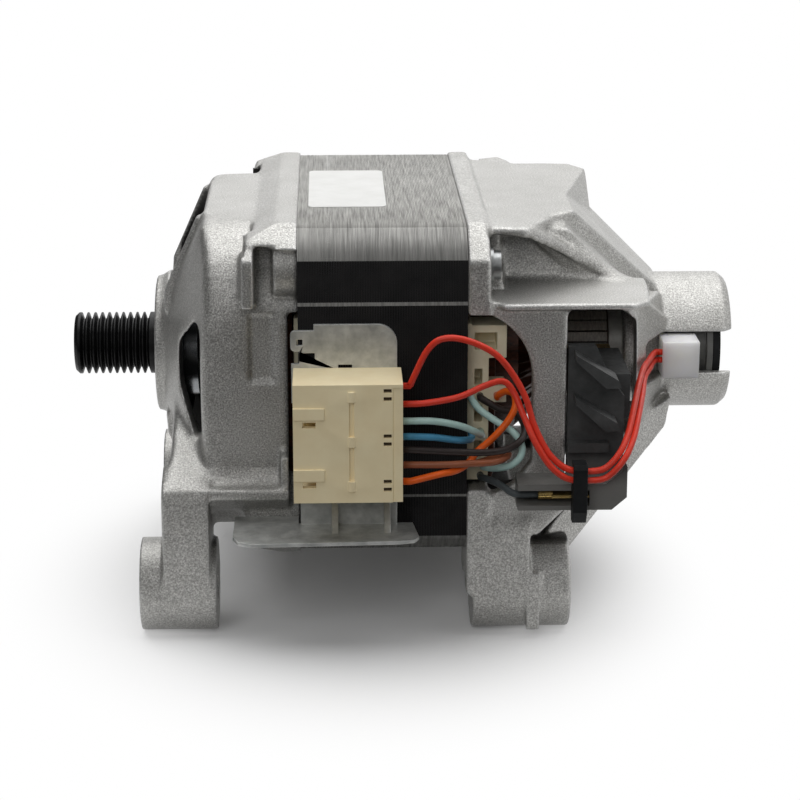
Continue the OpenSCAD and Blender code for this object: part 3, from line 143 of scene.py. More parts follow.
floor_z, far = -0.0787, 9
floor_mesh = bpy.data.meshes.new("floor")
floor_mesh.from_pydata([(x, y, floor_z) for x, y in ((-far, -far), (far, -far), (far, far), (-far, far))],
                       [], [(0, 1, 2, 3)])
floor = bpy.data.objects.new("floor", floor_mesh)
scene.collection.objects.link(floor)
paper = bpy.data.materials.new("floor_paper")
paper.use_nodes = True
floor_mesh.materials.append(paper)
sheet = paper.node_tree
sheet.nodes.remove(sheet.nodes["Principled BSDF"])


def floor_shader(kind, *parts, **settings):
    """One shader of the floor: parts go into its sockets in order, settings into those they name."""
    node = sheet.nodes.new("ShaderNode" + kind)
    for part, socket in zip(parts, node.inputs):
        feed(sheet, part, socket)
    for name, value in settings.items():
        feed(sheet, value, node.inputs[name])
    return node.outputs[0]


# Round the motor's footprint the floor is lit paper that keeps the shadow, and it fades to plain white.
# Light that is not seen meets a dimmer floor, so that little comes back up at the motor.
footprint, footprint_shift = (1.3, 1, 0), (-0.104, 0.01, 0)
shadow_start, shadow_end = 0.065, 0.16
about, reach = (sheet.nodes.new("ShaderNodeVectorMath") for _ in range(2))
about.operation, reach.operation = "MULTIPLY_ADD", "LENGTH"
for value, socket in zip((place_of(sheet), footprint, footprint_shift), about.inputs):
    feed(sheet, value, socket)
sheet.links.new(about.outputs["Vector"], reach.inputs[0])
fade = spread(sheet, reach.outputs["Value"], 0, 1, shadow_start, shadow_end, "SMOOTHSTEP")
lit = floor_shader("BsdfDiffuse", Color=(0.97, 0.97, 0.97, 1))
dim = floor_shader("BsdfDiffuse", Color=(0.18, 0.18, 0.18, 1))
near = floor_shader("AddShader", lit, floor_shader("Emission", Strength=0.02))
sweep = floor_shader("MixShader", fade, near, floor_shader("Emission", Strength=1.0))
choice = floor_shader("MixShader", seen_rays(sheet), dim, sweep)
sheet.links.new(choice, sheet.nodes["Material Output"].inputs["Surface"])


# Stator stack: about a hundred stamped electrical-steel sheets, clamped and welded along the corners.
# The sides are dark with varnish; the top, the cut corners and a step line in the sides are painted as
# lighter bare steel, partly a painted highlight of the light from above.
mm = 0.001
stack_x, stack_l, sheet_pitch = 61.7, 52.0, 0.5


def paint(r, g, b):
    """A colour as it is read off a screen, made linear."""
    return tuple(c / 3294.6 if c < 10.31 else ((c / 255 + 0.055) / 1.055) ** 2.4 for c in (r, g, b)) + (1,)


def noise(tree, vector, size_mm, detail=3.0, rough=0.55):
    """Soft noise whose largest blots are about this size."""
    node = tree.nodes.new("ShaderNodeTexNoise")
    node.inputs["Scale"].default_value = 1000 / size_mm
    node.inputs["Detail"].default_value = detail
    node.inputs["Roughness"].default_value = rough
    tree.links.new(vector, node.inputs["Vector"])
    return node.outputs["Fac"]


def ramp(tree, value, tones):
    """Colours along a value: tones are (position, colour)."""
    node = tree.nodes.new("ShaderNodeValToRGB")
    while len(node.color_ramp.elements) < len(tones):
        node.color_ramp.elements.new(0.5)
    for stop, (at, colour) in zip(node.color_ramp.elements, tones):
        stop.position, stop.color = at, paint(*colour)
    tree.links.new(value, node.inputs["Fac"])
    return node.outputs["Color"]


def mixed(tree, share, first, second, how="MIX"):
    """The first colour where the share is 0, the second where it is 1."""
    node = tree.nodes.new("ShaderNodeMix")
    node.data_type, node.blend_type = "RGBA", how
    colours = [socket for socket in node.inputs if socket.type == "RGBA"]
    for value, socket in zip((share, first, second), [node.inputs["Factor"]] + colours):
        feed(tree, value, socket)
    return [socket for socket in node.outputs if socket.type == "RGBA"][0]


def overlaid(material, share, colour):
    """Lays a second colour over a finish where the share is 1."""
    tone = material.node_tree.nodes["Principled BSDF"].inputs["Base Color"]
    over = mixed(material.node_tree, share, tone.links[0].from_socket, colour)
    material.node_tree.links.new(over, tone)


def axes_of(tree, vector):
    """A vector's X, Y and Z."""
    node = tree.nodes.new("ShaderNodeSeparateXYZ")
    tree.links.new(vector, node.inputs[0])
    return node.outputs


def stretched(tree, scale):
    """The place on the piece, scaled so that a pattern runs along one way."""
    node = tree.nodes.new("ShaderNodeMapping")
    node.inputs["Scale"].default_value = scale
    tree.links.new(place_of(tree), node.inputs["Vector"])
    return node.outputs["Vector"]


def finish(name, dark, light, grain_mm, rough, metal=0.0, pits_mm=0.01, pit_size_mm=0.6, shine=0.5,
           stretch=(1, 1, 1)):
    """A worked surface: clouded colour, uneven gloss and small pits, all set by sizes in millimetres."""
    material = bpy.data.materials.new(name)
    material.use_nodes = True
    tree = material.node_tree
    shader = tree.nodes["Principled BSDF"]
    where = stretched(tree, stretch)
    cloud = noise(tree, where, grain_mm, 5, 0.62)
    tree.links.new(ramp(tree, cloud, [(0.3, dark), (0.7, light)]), shader.inputs["Base Color"])
    tree.links.new(spread(tree, noise(tree, where, grain_mm * 0.4), *rough), shader.inputs["Roughness"])
    bump = tree.nodes.new("ShaderNodeBump")
    bump.inputs["Distance"].default_value = pits_mm * mm
    tree.links.new(noise(tree, where, pit_size_mm, 2), bump.inputs["Height"])
    tree.links.new(bump.outputs["Normal"], shader.inputs["Normal"])
    shader.inputs["Metallic"].default_value = metal
    shader.inputs["Specular IOR Level"].default_value = shine
    return material


def piece(name, mesh, material, slot, body, *nodes):
    """Puts a finished mesh in the scene on its body, in place of its nodes."""
    obj = bpy.data.objects.new(name, mesh)
    scene.collection.objects.link(obj)
    if material:
        mesh.materials.clear()
        mesh.materials.append(material)
    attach(obj, body)
    if nodes:
        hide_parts(*nodes)
    return obj


def flat_blank(name, outlines, thick_mm):
    """A stamped blank: closed outlines in (y, z), holes cut out, half its thickness either side of x = 0."""
    curve = bpy.data.curves.new(name, "CURVE")
    curve.dimensions, curve.fill_mode, curve.extrude = "2D", "BOTH", thick_mm * mm / 2
    for outline in outlines:
        line = curve.splines.new("POLY")
        line.points.add(len(outline) - 1)
        for point, (y, z) in zip(line.points, outline):
            point.co = (y * mm, z * mm, 0, 1)
        line.use_cyclic_u = True
    flat = bpy.data.objects.new(name, curve)
    scene.collection.objects.link(flat)
    mesh = bpy.data.meshes.new_from_object(flat.evaluated_get(bpy.context.evaluated_depsgraph_get()))
    bpy.data.objects.remove(flat)
    mesh.transform(Matrix(((0, 0, 1, 0), (1, 0, 0, 0), (0, 1, 0, 0), (0, 0, 0, 1))))
    return mesh


def arc(cy, cz, r, start, end, steps):
    """Points of a round corner or hole, between two angles in degrees."""
    return [(cy + r * math.cos(math.radians(start + (end - start) * i / steps)),
             cz + r * math.sin(math.radians(start + (end - start) * i / steps))) for i in range(steps + 1)]


def grown(name, seed_mesh, tree, values):
    """Runs a node tree on a mesh and gives back the plain mesh that it makes."""
    obj = bpy.data.objects.new(name, seed_mesh)
    scene.collection.objects.link(obj)
    modifier = obj.modifiers.new(name, "NODES")
    modifier.node_group = tree
    for socket in tree.interface.items_tree:
        if socket.in_out == "INPUT" and socket.name in values:
            modifier[socket.identifier] = values[socket.name]
    mesh = bpy.data.meshes.new_from_object(obj.evaluated_get(bpy.context.evaluated_depsgraph_get()))
    bpy.data.objects.remove(obj)
    return mesh


def sheet_stack():
    """Node tree: one stamped sheet repeated along the shaft, each a little out of line."""
    tree = bpy.data.node_groups.new("sheet_stack", "GeometryNodeTree")
    for name, kind in (("Geometry", "Geometry"), ("Sheets", "Int"), ("Start", "Float"), ("Pitch", "Float"),
                       ("Stray", "Float"), ("Finish", "Material")):
        tree.interface.new_socket(name, in_out="INPUT", socket_type="NodeSocket" + kind)
    tree.interface.new_socket("Geometry", in_out="OUTPUT", socket_type="NodeSocketGeometry")
    given, made = tree.nodes.new("NodeGroupInput"), tree.nodes.new("NodeGroupOutput")
    line = tree.nodes.new("GeometryNodeMeshLine")
    first, step = tree.nodes.new("ShaderNodeCombineXYZ"), tree.nodes.new("ShaderNodeCombineXYZ")
    copies = tree.nodes.new("GeometryNodeInstanceOnPoints")
    stray = tree.nodes.new("FunctionNodeRandomValue")
    stray.data_type = "FLOAT_VECTOR"
    stray.inputs["Min"].default_value, stray.inputs["Max"].default_value = (0, -1, -1), (0, 1, 1)
    stray.inputs["Seed"].default_value = 7
    scaled = tree.nodes.new("ShaderNodeVectorMath")
    scaled.operation = "SCALE"
    shifted = tree.nodes.new("GeometryNodeTranslateInstances")
    real = tree.nodes.new("GeometryNodeRealizeInstances")
    dressed_sheets = tree.nodes.new("GeometryNodeSetMaterial")
    for a, b in ((given.outputs["Start"], first.inputs["X"]), (given.outputs["Pitch"], step.inputs["X"]),
                 (given.outputs["Sheets"], line.inputs["Count"]),
                 (first.outputs[0], line.inputs["Start Location"]), (step.outputs[0], line.inputs["Offset"]),
                 (line.outputs[0], copies.inputs["Points"]),
                 (given.outputs["Geometry"], copies.inputs["Instance"]),
                 (copies.outputs[0], shifted.inputs["Instances"]), (stray.outputs[0], scaled.inputs[0]),
                 (given.outputs["Stray"], scaled.inputs["Scale"]),
                 (scaled.outputs[0], shifted.inputs["Translation"]),
                 (shifted.outputs[0], real.inputs[0]), (real.outputs[0], dressed_sheets.inputs["Geometry"]),
                 (given.outputs["Finish"], dressed_sheets.inputs["Material"]),
                 (dressed_sheets.outputs[0], made.inputs["Geometry"])):
        tree.links.new(a, b)
    return tree


def varnished_sheets():
    """Dark varnish on the sides; on the top, the cut corners and the side step, bare steel that is partly a
    painted highlight, with painted shade lower on the corners.
    """
    step_z, corner_z, corner_shade_z, top_z = 0.0307, 0.0441, 0.0465, 0.0524
    material = finish("varnished_sheets", (18, 18, 19), (30, 29, 29), grain_mm=9, rough=(0.45, 0.62),
                      pits_mm=0.012, pit_size_mm=0.5, shine=0.1)
    tree = material.node_tree
    height = reckon(tree, "ABSOLUTE", axes_of(tree, place_of(tree))["Z"])
    upper = spread(tree, height, 0, 1, corner_z - 0.0001, corner_z + 0.0001)
    # Painted highlight: the top, the cut corners and the step line in the sides are painted as light bare
    # steel, partly standing in for the light they catch from above.
    bare_steel_and_highlight = reckon(tree, "MAXIMUM", upper, reckon(tree, "COMPARE", height, step_z, 0.0005))
    strokes = noise(tree, stretched(tree, (1, 0.04, 0.04)), 0.7, 3, 0.6)
    steel = ramp(tree, strokes, [(0.3, (130, 129, 126)), (0.7, (188, 187, 183))])
    # Painted shade: the cut corners are painted darker the lower they lie, fading out at the top.
    painted_corner_shade = spread(tree, height, 0.55, 0, corner_shade_z, top_z)
    overlaid(material, bare_steel_and_highlight, mixed(tree, painted_corner_shade, steel, paint(78, 78, 77)))
    tree.links.new(spread(tree, bare_steel_and_highlight, 0, 0.15, 0, 1), tree.nodes["Principled BSDF"].inputs["Metallic"])
    return material


# A quarter of the sheet's edge and of its window, in millimetres across and up, and then the whole sheet.
corner = [(59.8, 52.5), (60.1, 51.7), (61.2, 51.3), (61.9, 51.9), (67.6, 48.6), (73.4, 44.2), (73.4, 31.2),
          (74, 30.2)]
half = corner + [(y, -z) for y, z in corner[::-1]]
stack_outline = half + [(-y, z) for y, z in half[::-1]]
quarter = [(0, 38), (58, 38), (58, 23), (41, 23), (30, 31), (22, 31)] + arc(0, 0, 33.7, 49.2, 0, 9)
window = quarter + [(y, -z) for y, z in quarter[::-1][1:]]
window = window + [(-y, z) for y, z in window[::-1]]
bolt_holes = [arc(y, z, 2.6, 0, 337.5, 15) for y in (-62, 62) for z in (-40, 40)]
sheet_blank = flat_blank("stator_sheet", [stack_outline, window] + bolt_holes, 0.45)
stack_mesh = grown("stator_sheets", sheet_blank, sheet_stack(),
                   {"Sheets": int(stack_l / sheet_pitch), "Start": (stack_x + sheet_pitch / 2) * mm,
                    "Pitch": sheet_pitch * mm, "Stray": 0.03 * mm, "Finish": varnished_sheets()})
piece("stator_sheets", stack_mesh, None, "lamination_steel", "stator", "stator_core")


# Label on the flat top of the stack: a plain white paper sticker with round corners, left blank.
# It lies flat on the sheets and rides with the stack.
label_x, label_y, label_z, label_r = (65.0, 89.8), (-33.0, 29.0), (52.53, 52.68), 2.0
x0, x1, y0, y1 = label_x[0] + label_r, label_x[1] - label_r, label_y[0] + label_r, label_y[1] - label_r
corners = [(x1, y1, 0), (x0, y1, 90), (x0, y0, 180), (x1, y0, 270)]
rim = [p for x, y, a in corners for p in arc(x, y, label_r, a, a + 90, 6)]
count = len(rim)
sides = [(i, (i + 1) % count, (i + 1) % count + count, i + count) for i in range(count)]
label_mesh = bpy.data.meshes.new("blank_label")
label_mesh.from_pydata([(x * mm, y * mm, z * mm) for z in label_z for x, y in rim], [],
                       [tuple(range(count))[::-1], tuple(range(count, 2 * count))] + sides)
label_paper = finish("label_paper", (224, 224, 221), (233, 233, 231), grain_mm=9, rough=(0.55, 0.7),
                     pits_mm=0.004, pit_size_mm=0.3)
piece("blank_label", label_mesh, label_paper, "white_plastic", "stator")


# Field coils and their cream insulation: enamelled copper wire wound round each pole,
# held by moulded frames that carry the terminal pockets on the commutator side.
def dressed(node, edge_mm, material, slot, body="stator"):
    """A rigid piece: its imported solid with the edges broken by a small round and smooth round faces."""
    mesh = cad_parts[node].data.copy()
    solid = bmesh.new()
    solid.from_mesh(mesh)
    bmesh.ops.remove_doubles(solid, verts=solid.verts, dist=2e-6)
    bmesh.ops.dissolve_limit(solid, angle_limit=math.radians(0.6), verts=solid.verts, edges=solid.edges)
    if edge_mm:
        edges = [e for e in solid.edges if e.is_manifold and e.calc_face_angle(0) > math.radians(35)]
        bmesh.ops.bevel(solid, geom=edges, offset=edge_mm * mm, offset_type="OFFSET", segments=2, profile=0.5,
                        affect="EDGES", clamp_overlap=True)
    for face in solid.faces:
        face.smooth = True
    solid.to_mesh(mesh)
    solid.free()
    if "custom_normal" in mesh.attributes:
        mesh.attributes.remove(mesh.attributes["custom_normal"])
    mesh.set_sharp_from_angle(angle=math.radians(20))
    return piece(node + "_piece", mesh, material, slot, body, node)


copper = finish("enamelled_copper", (36, 18, 10), (84, 42, 22), grain_mm=1.2, rough=(0.3, 0.45),
                metal=0.2, pits_mm=0.12, pit_size_mm=0.8, shine=0.3, stretch=(0.25, 1, 1))
cream = finish("cream_moulding", (226, 216, 184), (240, 232, 206), grain_mm=7, rough=(0.4, 0.55),
               pits_mm=0.01, pit_size_mm=0.5, shine=0.3)
for node in ("near_field_coil", "far_field_coil"):
    dressed(node, 1.2, copper, "copper_winding")
for node in ("near_coil_frame", "far_coil_frame", "drive_end_insulators"):
    dressed(node, 0.3, cream, "cream_plastic")


# Rotor: an oiled steel shaft with a slotted stack, its copper winding, the black fan and the commutator.
# All of it turns together in the two bearings.
steel = finish("oiled_steel", (52, 51, 49), (88, 86, 82), grain_mm=3, rough=(0.32, 0.48),
               metal=0.7, pits_mm=0.004, pit_size_mm=0.4, stretch=(0.15, 1, 1))
core = finish("rotor_sheets", (58, 58, 60), (96, 94, 92), grain_mm=2, rough=(0.4, 0.6),
              metal=0.6, pits_mm=0.02, pit_size_mm=0.5, shine=0.3, stretch=(8, 1, 1))
black = finish("black_moulding", (18, 19, 20), (32, 33, 34), grain_mm=5, rough=(0.45, 0.62),
               pits_mm=0.015, pit_size_mm=0.4, shine=0.12)
phenolic = finish("commutator_moulding", (48, 33, 25), (70, 50, 38), grain_mm=4, rough=(0.35, 0.5),
                  pits_mm=0.01, pit_size_mm=0.4)
bars = finish("worn_copper_bars", (128, 124, 118), (176, 170, 162), grain_mm=2, rough=(0.3, 0.5),
              metal=0.25, pits_mm=0.01, pit_size_mm=0.3, shine=0.3, stretch=(4, 1, 1))
turned = finish("turned_steel", (196, 195, 190), (226, 225, 220), grain_mm=3, rough=(0.3, 0.42),
                metal=0.4, pits_mm=0.003, pit_size_mm=0.4)
dressed("rotor_shaft", 0.4, steel, "bearing_steel", "rotor")
dressed("rotor_core", 0.15, core, "lamination_steel", "rotor")
winding = dressed("rotor_winding", 0.8, copper, "copper_winding", "rotor")
bulge_start, bulge_full, bulge_out, bulge_along = 122, 130, 4.5, 2.5
for vertex in winding.data.vertices:
    x, r = vertex.co.x / mm, math.hypot(vertex.co.y, vertex.co.z) / mm
    if bulge_start < x < bulge_full + 2 and r > 20:
        swell = min(1, (x - bulge_start) / (bulge_full - bulge_start))
        wider = 1 + bulge_out * swell / r
        vertex.co *= Vector((1, wider, wider))
        vertex.co.x += bulge_along * swell * mm
dressed("cooling_fan", 0.3, black, "black_plastic", "rotor")
dressed("commutator_moulding", 0.2, phenolic, "commutator_moulding", "rotor")
dressed("commutator_bars", 0.1, bars, "commutator_copper", "rotor")
dressed("commutator_collar", 0.3, turned, "zinc_steel", "rotor")


# Bearings: two deep-groove ball bearings, hardened rings and balls with pressed cages,
# and the wave washer that keeps the tacho-end bearing tight in its seat.
ring_steel = finish("ring_steel", (186, 190, 194), (210, 213, 216), grain_mm=3, rough=(0.15, 0.25),
                    metal=0.95, pits_mm=0.002, pit_size_mm=0.4)
cage_brass = finish("cage_brass", (120, 94, 54), (160, 130, 80), grain_mm=2, rough=(0.3, 0.45),
                    metal=0.8, pits_mm=0.005, pit_size_mm=0.4)
for end in ("front", "rear"):
    dressed(end + "_bearing_outer_ring", 0.2, ring_steel, "bearing_steel")
    dressed(end + "_bearing_inner_ring", 0.2, ring_steel, "bearing_steel", "rotor")
    dressed(end + "_bearing_balls", 0, ring_steel, "bearing_steel", end + "_ball_set")
    dressed(end + "_bearing_cage", 0, cage_brass, "bearing_cage", end + "_ball_set")
dressed("wave_washer", 0.1, ring_steel, "spring_steel")


# End shields: aluminium pressure castings, shot-blasted grey all over, with soft cast edges.
# Each carries a bearing and two feet, and they clamp the stack between them.
def cast_aluminium():
    """Blasted casting skin: fine speckle, slow clouds, bright rubbed edges, and painted shade that darkens
    the inside.
    """
    material = bpy.data.materials.new("cast_aluminium")
    material.use_nodes = True
    tree = material.node_tree
    shader = tree.nodes["Principled BSDF"]
    where = place_of(tree)
    fine = noise(tree, where, 0.5, 2, 0.7)
    skin = ramp(tree, fine, [(0.32, (144, 143, 140)), (0.5, (176, 175, 172)), (0.68, (218, 217, 214))])
    cloud = ramp(tree, noise(tree, where, 14, 4), [(0.3, (236, 236, 235)), (0.7, (255, 255, 255))])
    toned = mixed(tree, 1.0, skin, cloud, "MULTIPLY")
    shape = tree.nodes.new("ShaderNodeNewGeometry")
    edge = spread(tree, shape.outputs["Pointiness"], 0, 0.5, 0.52, 0.60)
    rubbed = mixed(tree, edge, toned, paint(222, 223, 224))
    # Painted shade: the inside of the castings is darkened to near black by a mark set on the mesh.
    inside_shade = tree.nodes.new("ShaderNodeAttribute")
    inside_shade.attribute_name = "painted_inside_shade"
    tree.links.new(mixed(tree, inside_shade.outputs["Fac"], rubbed, paint(30, 29, 28)), shader.inputs["Base Color"])
    tree.links.new(spread(tree, fine, 0.36, 0.48), shader.inputs["Roughness"])
    bump = tree.nodes.new("ShaderNodeBump")
    bump.inputs["Distance"].default_value = 0.16 * mm
    tree.links.new(fine, bump.inputs["Height"])
    tree.links.new(bump.outputs["Normal"], shader.inputs["Normal"])
    shader.inputs["Metallic"].default_value = 0.68
    return material


def cast_piece(node, voxel_mm, material, rounding):
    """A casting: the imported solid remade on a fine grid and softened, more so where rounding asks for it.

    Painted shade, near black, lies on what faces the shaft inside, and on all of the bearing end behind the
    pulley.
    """
    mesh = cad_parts[node].data.copy()
    solid = bmesh.new()
    solid.from_mesh(mesh)
    bmesh.ops.remove_doubles(solid, verts=solid.verts, dist=2e-6)
    solid.to_mesh(mesh)
    solid.free()
    if "custom_normal" in mesh.attributes:
        mesh.attributes.remove(mesh.attributes["custom_normal"])
    rough = bpy.data.objects.new(node, mesh)
    scene.collection.objects.link(rough)
    grid = rough.modifiers.new("grid", "REMESH")
    grid.mode, grid.voxel_size, grid.use_smooth_shade = "VOXEL", voxel_mm * mm, True
    soft = rough.modifiers.new("soft", "SMOOTH")
    soft.factor, soft.iterations = 0.5, 3
    thin = rough.modifiers.new("thin", "DECIMATE")
    thin.ratio = 0.55
    cast = bpy.data.meshes.new_from_object(rough.evaluated_get(bpy.context.evaluated_depsgraph_get()))
    bpy.data.objects.remove(rough)
    for face in cast.polygons:
        face.use_smooth = True
    solid = bmesh.new()
    solid.from_mesh(cast)
    rounds = {v: rounding(*(v.co / mm), v.normal) for v in solid.verts}
    for step in range(max(rounds.values())):
        bmesh.ops.smooth_vert(solid, verts=[v for v in rounds if rounds[v] > step], factor=0.5,
                              use_axis_x=True, use_axis_y=True, use_axis_z=True)
    solid.to_mesh(cast)
    solid.free()
    # Painted shade: faces inside the shields that turn towards the shaft, and the whole bearing end behind
    # the pulley, are marked near black.
    inside_shade = cast.attributes.new("painted_inside_shade", "FLOAT", "POINT")
    for vertex in cast.vertices:
        x, y, z = vertex.co / mm
        inwards = -(vertex.normal.y * y + vertex.normal.z * z) / max(math.hypot(y, z), 1)
        far_in = 21 < x < 34 and math.hypot(y, z) < 26
        inside = 21 < x < 160 and abs(y) < 66 and abs(z) < 50
        inside_shade.data[vertex.index].value = 1 if far_in else max(0, min(1, 2 * inwards)) if inside else 0
    return piece(node + "_casting", cast, material, "cast_aluminium", "stator", node)


def bell_skin(x, y, z, normal):
    """Extra rounds: the bell's outside between the lugs, and both faces round the side vents."""
    outwards = normal.y * y + normal.z * z - normal.x * 20
    if not (19 < x < 46 and 27.5 < abs(y) < 72 and z > -44):
        return 0
    return 30 if outwards > 0 or x < 40 and abs(z) < 27 else 0


def roof_skin(x, y, z, normal):
    """Extra rounds: the hollow beside the slope, the foot of the recess wall, and the roof's near edge."""
    ridge = -40 + (x - 143.7) * 0.85
    if 138 < x < 172 and -44 < y < ridge - 0.6 and z > 33 and normal.z > -0.2:
        return 30
    if 119 < x < 168 and -54 < y < -36 and 29.5 < z < 43 and normal.z > -0.2:
        return 30
    return 10 if 119 < x < 172 and -66 < y < -36 and z > 33 else 0


casting = cast_aluminium()
cast_piece("drive_end_shield", 0.8, casting, bell_skin)
cast_piece("commutator_end_shield", 0.8, casting, roof_skin)


# Through-bolts: four zinc-plated screws with flanged heads.
# They run through the corners of the stack and clamp the two shields on it.
zinc = finish("zinc_plate", (150, 152, 152), (186, 188, 188), grain_mm=3, rough=(0.3, 0.45),
              metal=0.9, pits_mm=0.006, pit_size_mm=0.4)
dressed("through_bolts", 0.2, zinc, "zinc_steel")


# Belt pulley: a steel pulley turned with ten V-shaped ribs, phosphated black and lightly worn.
# It is pressed on the end of the shaft.
pulley_black = finish("phosphated_pulley", (8, 8, 9), (18, 18, 18), grain_mm=3, rough=(0.3, 0.48),
                      pits_mm=0.01, pit_size_mm=0.3, shine=0.2)
dressed("belt_pulley", 0.12, pulley_black, "black_pulley", "rotor")


# Brush gear: black moulded holders on the shield's columns, with brass guides, carbon brushes on springs,
# crimped brass tabs in the trays and the clip that keeps the tacho leads.
brass = finish("brass_strip", (176, 146, 82), (214, 188, 124), grain_mm=4, rough=(0.25, 0.4),
               metal=0.85, pits_mm=0.004, pit_size_mm=0.4)
bright = finish("bright_steel", (196, 198, 200), (222, 224, 226), grain_mm=4, rough=(0.15, 0.28),
                metal=0.9, pits_mm=0.003, pit_size_mm=0.4)
carbon = finish("pressed_carbon", (38, 38, 40), (66, 66, 68), grain_mm=1.2, rough=(0.5, 0.7),
                metal=0.1, pits_mm=0.02, pit_size_mm=0.3)
grey_moulding = finish("grey_moulding", (54, 55, 55), (76, 77, 77), grain_mm=6, rough=(0.38, 0.55),
                       pits_mm=0.015, pit_size_mm=0.4, shine=0.25)
tree = grey_moulding.node_tree
# Painted light: the holders are painted lighter towards the bottom, standing in for the light on the trays
# while the cages above lie in shade.
tray_z = (-0.024, -0.018)
painted_tray_light = spread(tree, axes_of(tree, place_of(tree))["Z"], 1, 0, *tray_z)
overlaid(grey_moulding, painted_tray_light, paint(116, 115, 112))
for side in ("near", "far"):
    dressed(side + "_brush_holder", 0.3, grey_moulding, "black_plastic")
    dressed(side + "_brush_guide", 0.1, brass, "brass")
    dressed(side + "_carbon_brush", 0.2, carbon, "carbon", side + "_brush")
    spring = dressed(side + "_brush_spring", 0, bright, "spring_steel")
    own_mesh(spring)
dressed("brush_terminals", 0.1, brass, "brass")
dressed("brush_holder_screws", 0.15, zinc, "zinc_steel")
dressed("lead_clip", 0.25, black, "black_plastic")


# Tacho: a ring magnet on the shaft's end, which turns inside a pick-up coil in the hub.
# A black cover closes the hub, and a white nylon plug takes the coil's two leads.
ferrite = finish("ferrite", (54, 55, 58), (82, 83, 86), grain_mm=2, rough=(0.5, 0.65),
                 metal=0.2, pits_mm=0.02, pit_size_mm=0.4)
white_plug = finish("natural_nylon", (250, 248, 240), (254, 253, 248), grain_mm=6, rough=(0.3, 0.45),
                    pits_mm=0.008, pit_size_mm=0.5)
for socket, value in (("Weight", 1.0), ("Scale", 8 * mm), ("Radius", (1, 1, 0.9))):
    white_plug.node_tree.nodes["Principled BSDF"].inputs["Subsurface " + socket].default_value = value
grey_plastic = finish("grey_plastic", (98, 98, 96), (122, 122, 119), grain_mm=5, rough=(0.4, 0.55),
                      pits_mm=0.01, pit_size_mm=0.4, shine=0.3)
dressed("tacho_magnet", 0.3, ferrite, "ferrite", "rotor")
dressed("tacho_coil", 0.3, grey_plastic, "black_plastic")
dressed("tacho_plug", 0.4, white_plug, "white_plastic")
dressed("tacho_cover", 0.3, black, "black_plastic")


# Connector: a galvanised sheet bracket spot-welded to the stack, and the cream housing with brass blades.
# The housing's socket opens towards the drive end and the leads leave it on the other side.
galvanised = finish("galvanised_sheet", (162, 164, 162), (206, 207, 204), grain_mm=5, rough=(0.3, 0.5),
                    metal=0.55, pits_mm=0.006, pit_size_mm=0.5)
housing_cream = finish("housing_cream", (242, 224, 182), (249, 234, 194), grain_mm=8, rough=(0.34, 0.48),
                       pits_mm=0.008, pit_size_mm=0.5)
# Painted shade: the floors of the small slots in the front of the housing are painted dark brown, where shade
# falls in them.
tree = housing_cream.node_tree
front = min(v.co.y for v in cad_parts["connector_housing"].data.vertices)
depth = axes_of(tree, place_of(tree))["Y"]
facing = axes_of(tree, tree.nodes.new("ShaderNodeNewGeometry").outputs["True Normal"])["Y"]
behind = spread(tree, depth, 0, 1, front + 1.6 * mm, front + 1.7 * mm)
before = spread(tree, depth, 1, 0, front + 2.4 * mm, front + 2.6 * mm)
outwards = spread(tree, facing, 1, 0, -0.9, -0.8)
painted_slot_shade = reckon(tree, "MULTIPLY", reckon(tree, "MULTIPLY", behind, outwards), before)
overlaid(housing_cream, painted_slot_shade, paint(58, 46, 28))
dressed("connector_bracket", 0.25, galvanised, "galvanised_steel")
dressed("connector_housing", 0.35, housing_cream, "cream_plastic")
dressed("connector_blades", 0.1, brass, "brass")


# Leads: stranded copper in coloured insulation, from the housing to the tacho plug, the brush tab
# and the coil frame. Points are in millimetres from the near edge of the stack's commutator end,
# at the height of the shaft.
def spline(points, steps):
    """A smooth line through points."""
    line = []
    for i in range(len(points) - 1):
        a, b, c, d = (points[max(0, min(len(points) - 1, i + k))] for k in (-1, 0, 1, 2))
        for s in range(steps):
            t = s / steps
            bend, twist = 2 * a - 5 * b + 4 * c - d, 3 * b - a - 3 * c + d
            line.append(b + t / 2 * ((c - a) + bend * t + twist * t * t))
    return line + [points[-1]]


def tube(path, radius, sides):
    """Rings carried along a path without twist, closed at both ends."""
    points, faces, across = [], [], None
    for i, p in enumerate(path):
        along = (path[min(i + 1, len(path) - 1)] - path[max(i - 1, 0)]).normalized()
        start = across or (Vector((0, 0, 1)) if abs(along.z) < 0.8 else Vector((0, 1, 0)))
        across = (start - start.dot(along) * along).normalized()
        other = along.cross(across)
        points += [p + radius * (math.cos(2 * math.pi * k / sides) * across
                                 + math.sin(2 * math.pi * k / sides) * other) for k in range(sides)]
    for i in range(len(path) - 1):
        for k in range(sides):
            a, b = i * sides + k, i * sides + (k + 1) % sides
            faces.append((a, b, b + sides, a + sides))
    faces.append(tuple(range(sides))[::-1])
    faces.append(tuple(range(len(points) - sides, len(points))))
    return points, faces


def lead(node, colour, slot, diameter_mm, route):
    """One lead: straight out of each end, smooth between."""
    stack_end = Vector((113.7, -74, 0))
    marks = [(Vector(p) + stack_end) * mm for p in route]
    path = [marks[0]] + spline(marks[1:-1], 6) + [marks[-1]]
    points, faces = tube(path, diameter_mm * mm / 2, 14)
    mesh = bpy.data.meshes.new(node + "_cable")
    mesh.from_pydata(points, [], faces)
    for face in mesh.polygons:
        face.use_smooth = len(face.vertices) == 4
    dark = tuple(c * 0.9 for c in colour)
    name = slot.replace("_insulation", "_pvc") + "_" + node
    insulation = finish(name, dark, colour, grain_mm=4, rough=(0.3, 0.45),
                        pits_mm=0.006, pit_size_mm=0.4, shine=0.3)
    cable = piece(node + "_cable", mesh, insulation, slot, "stator", node)


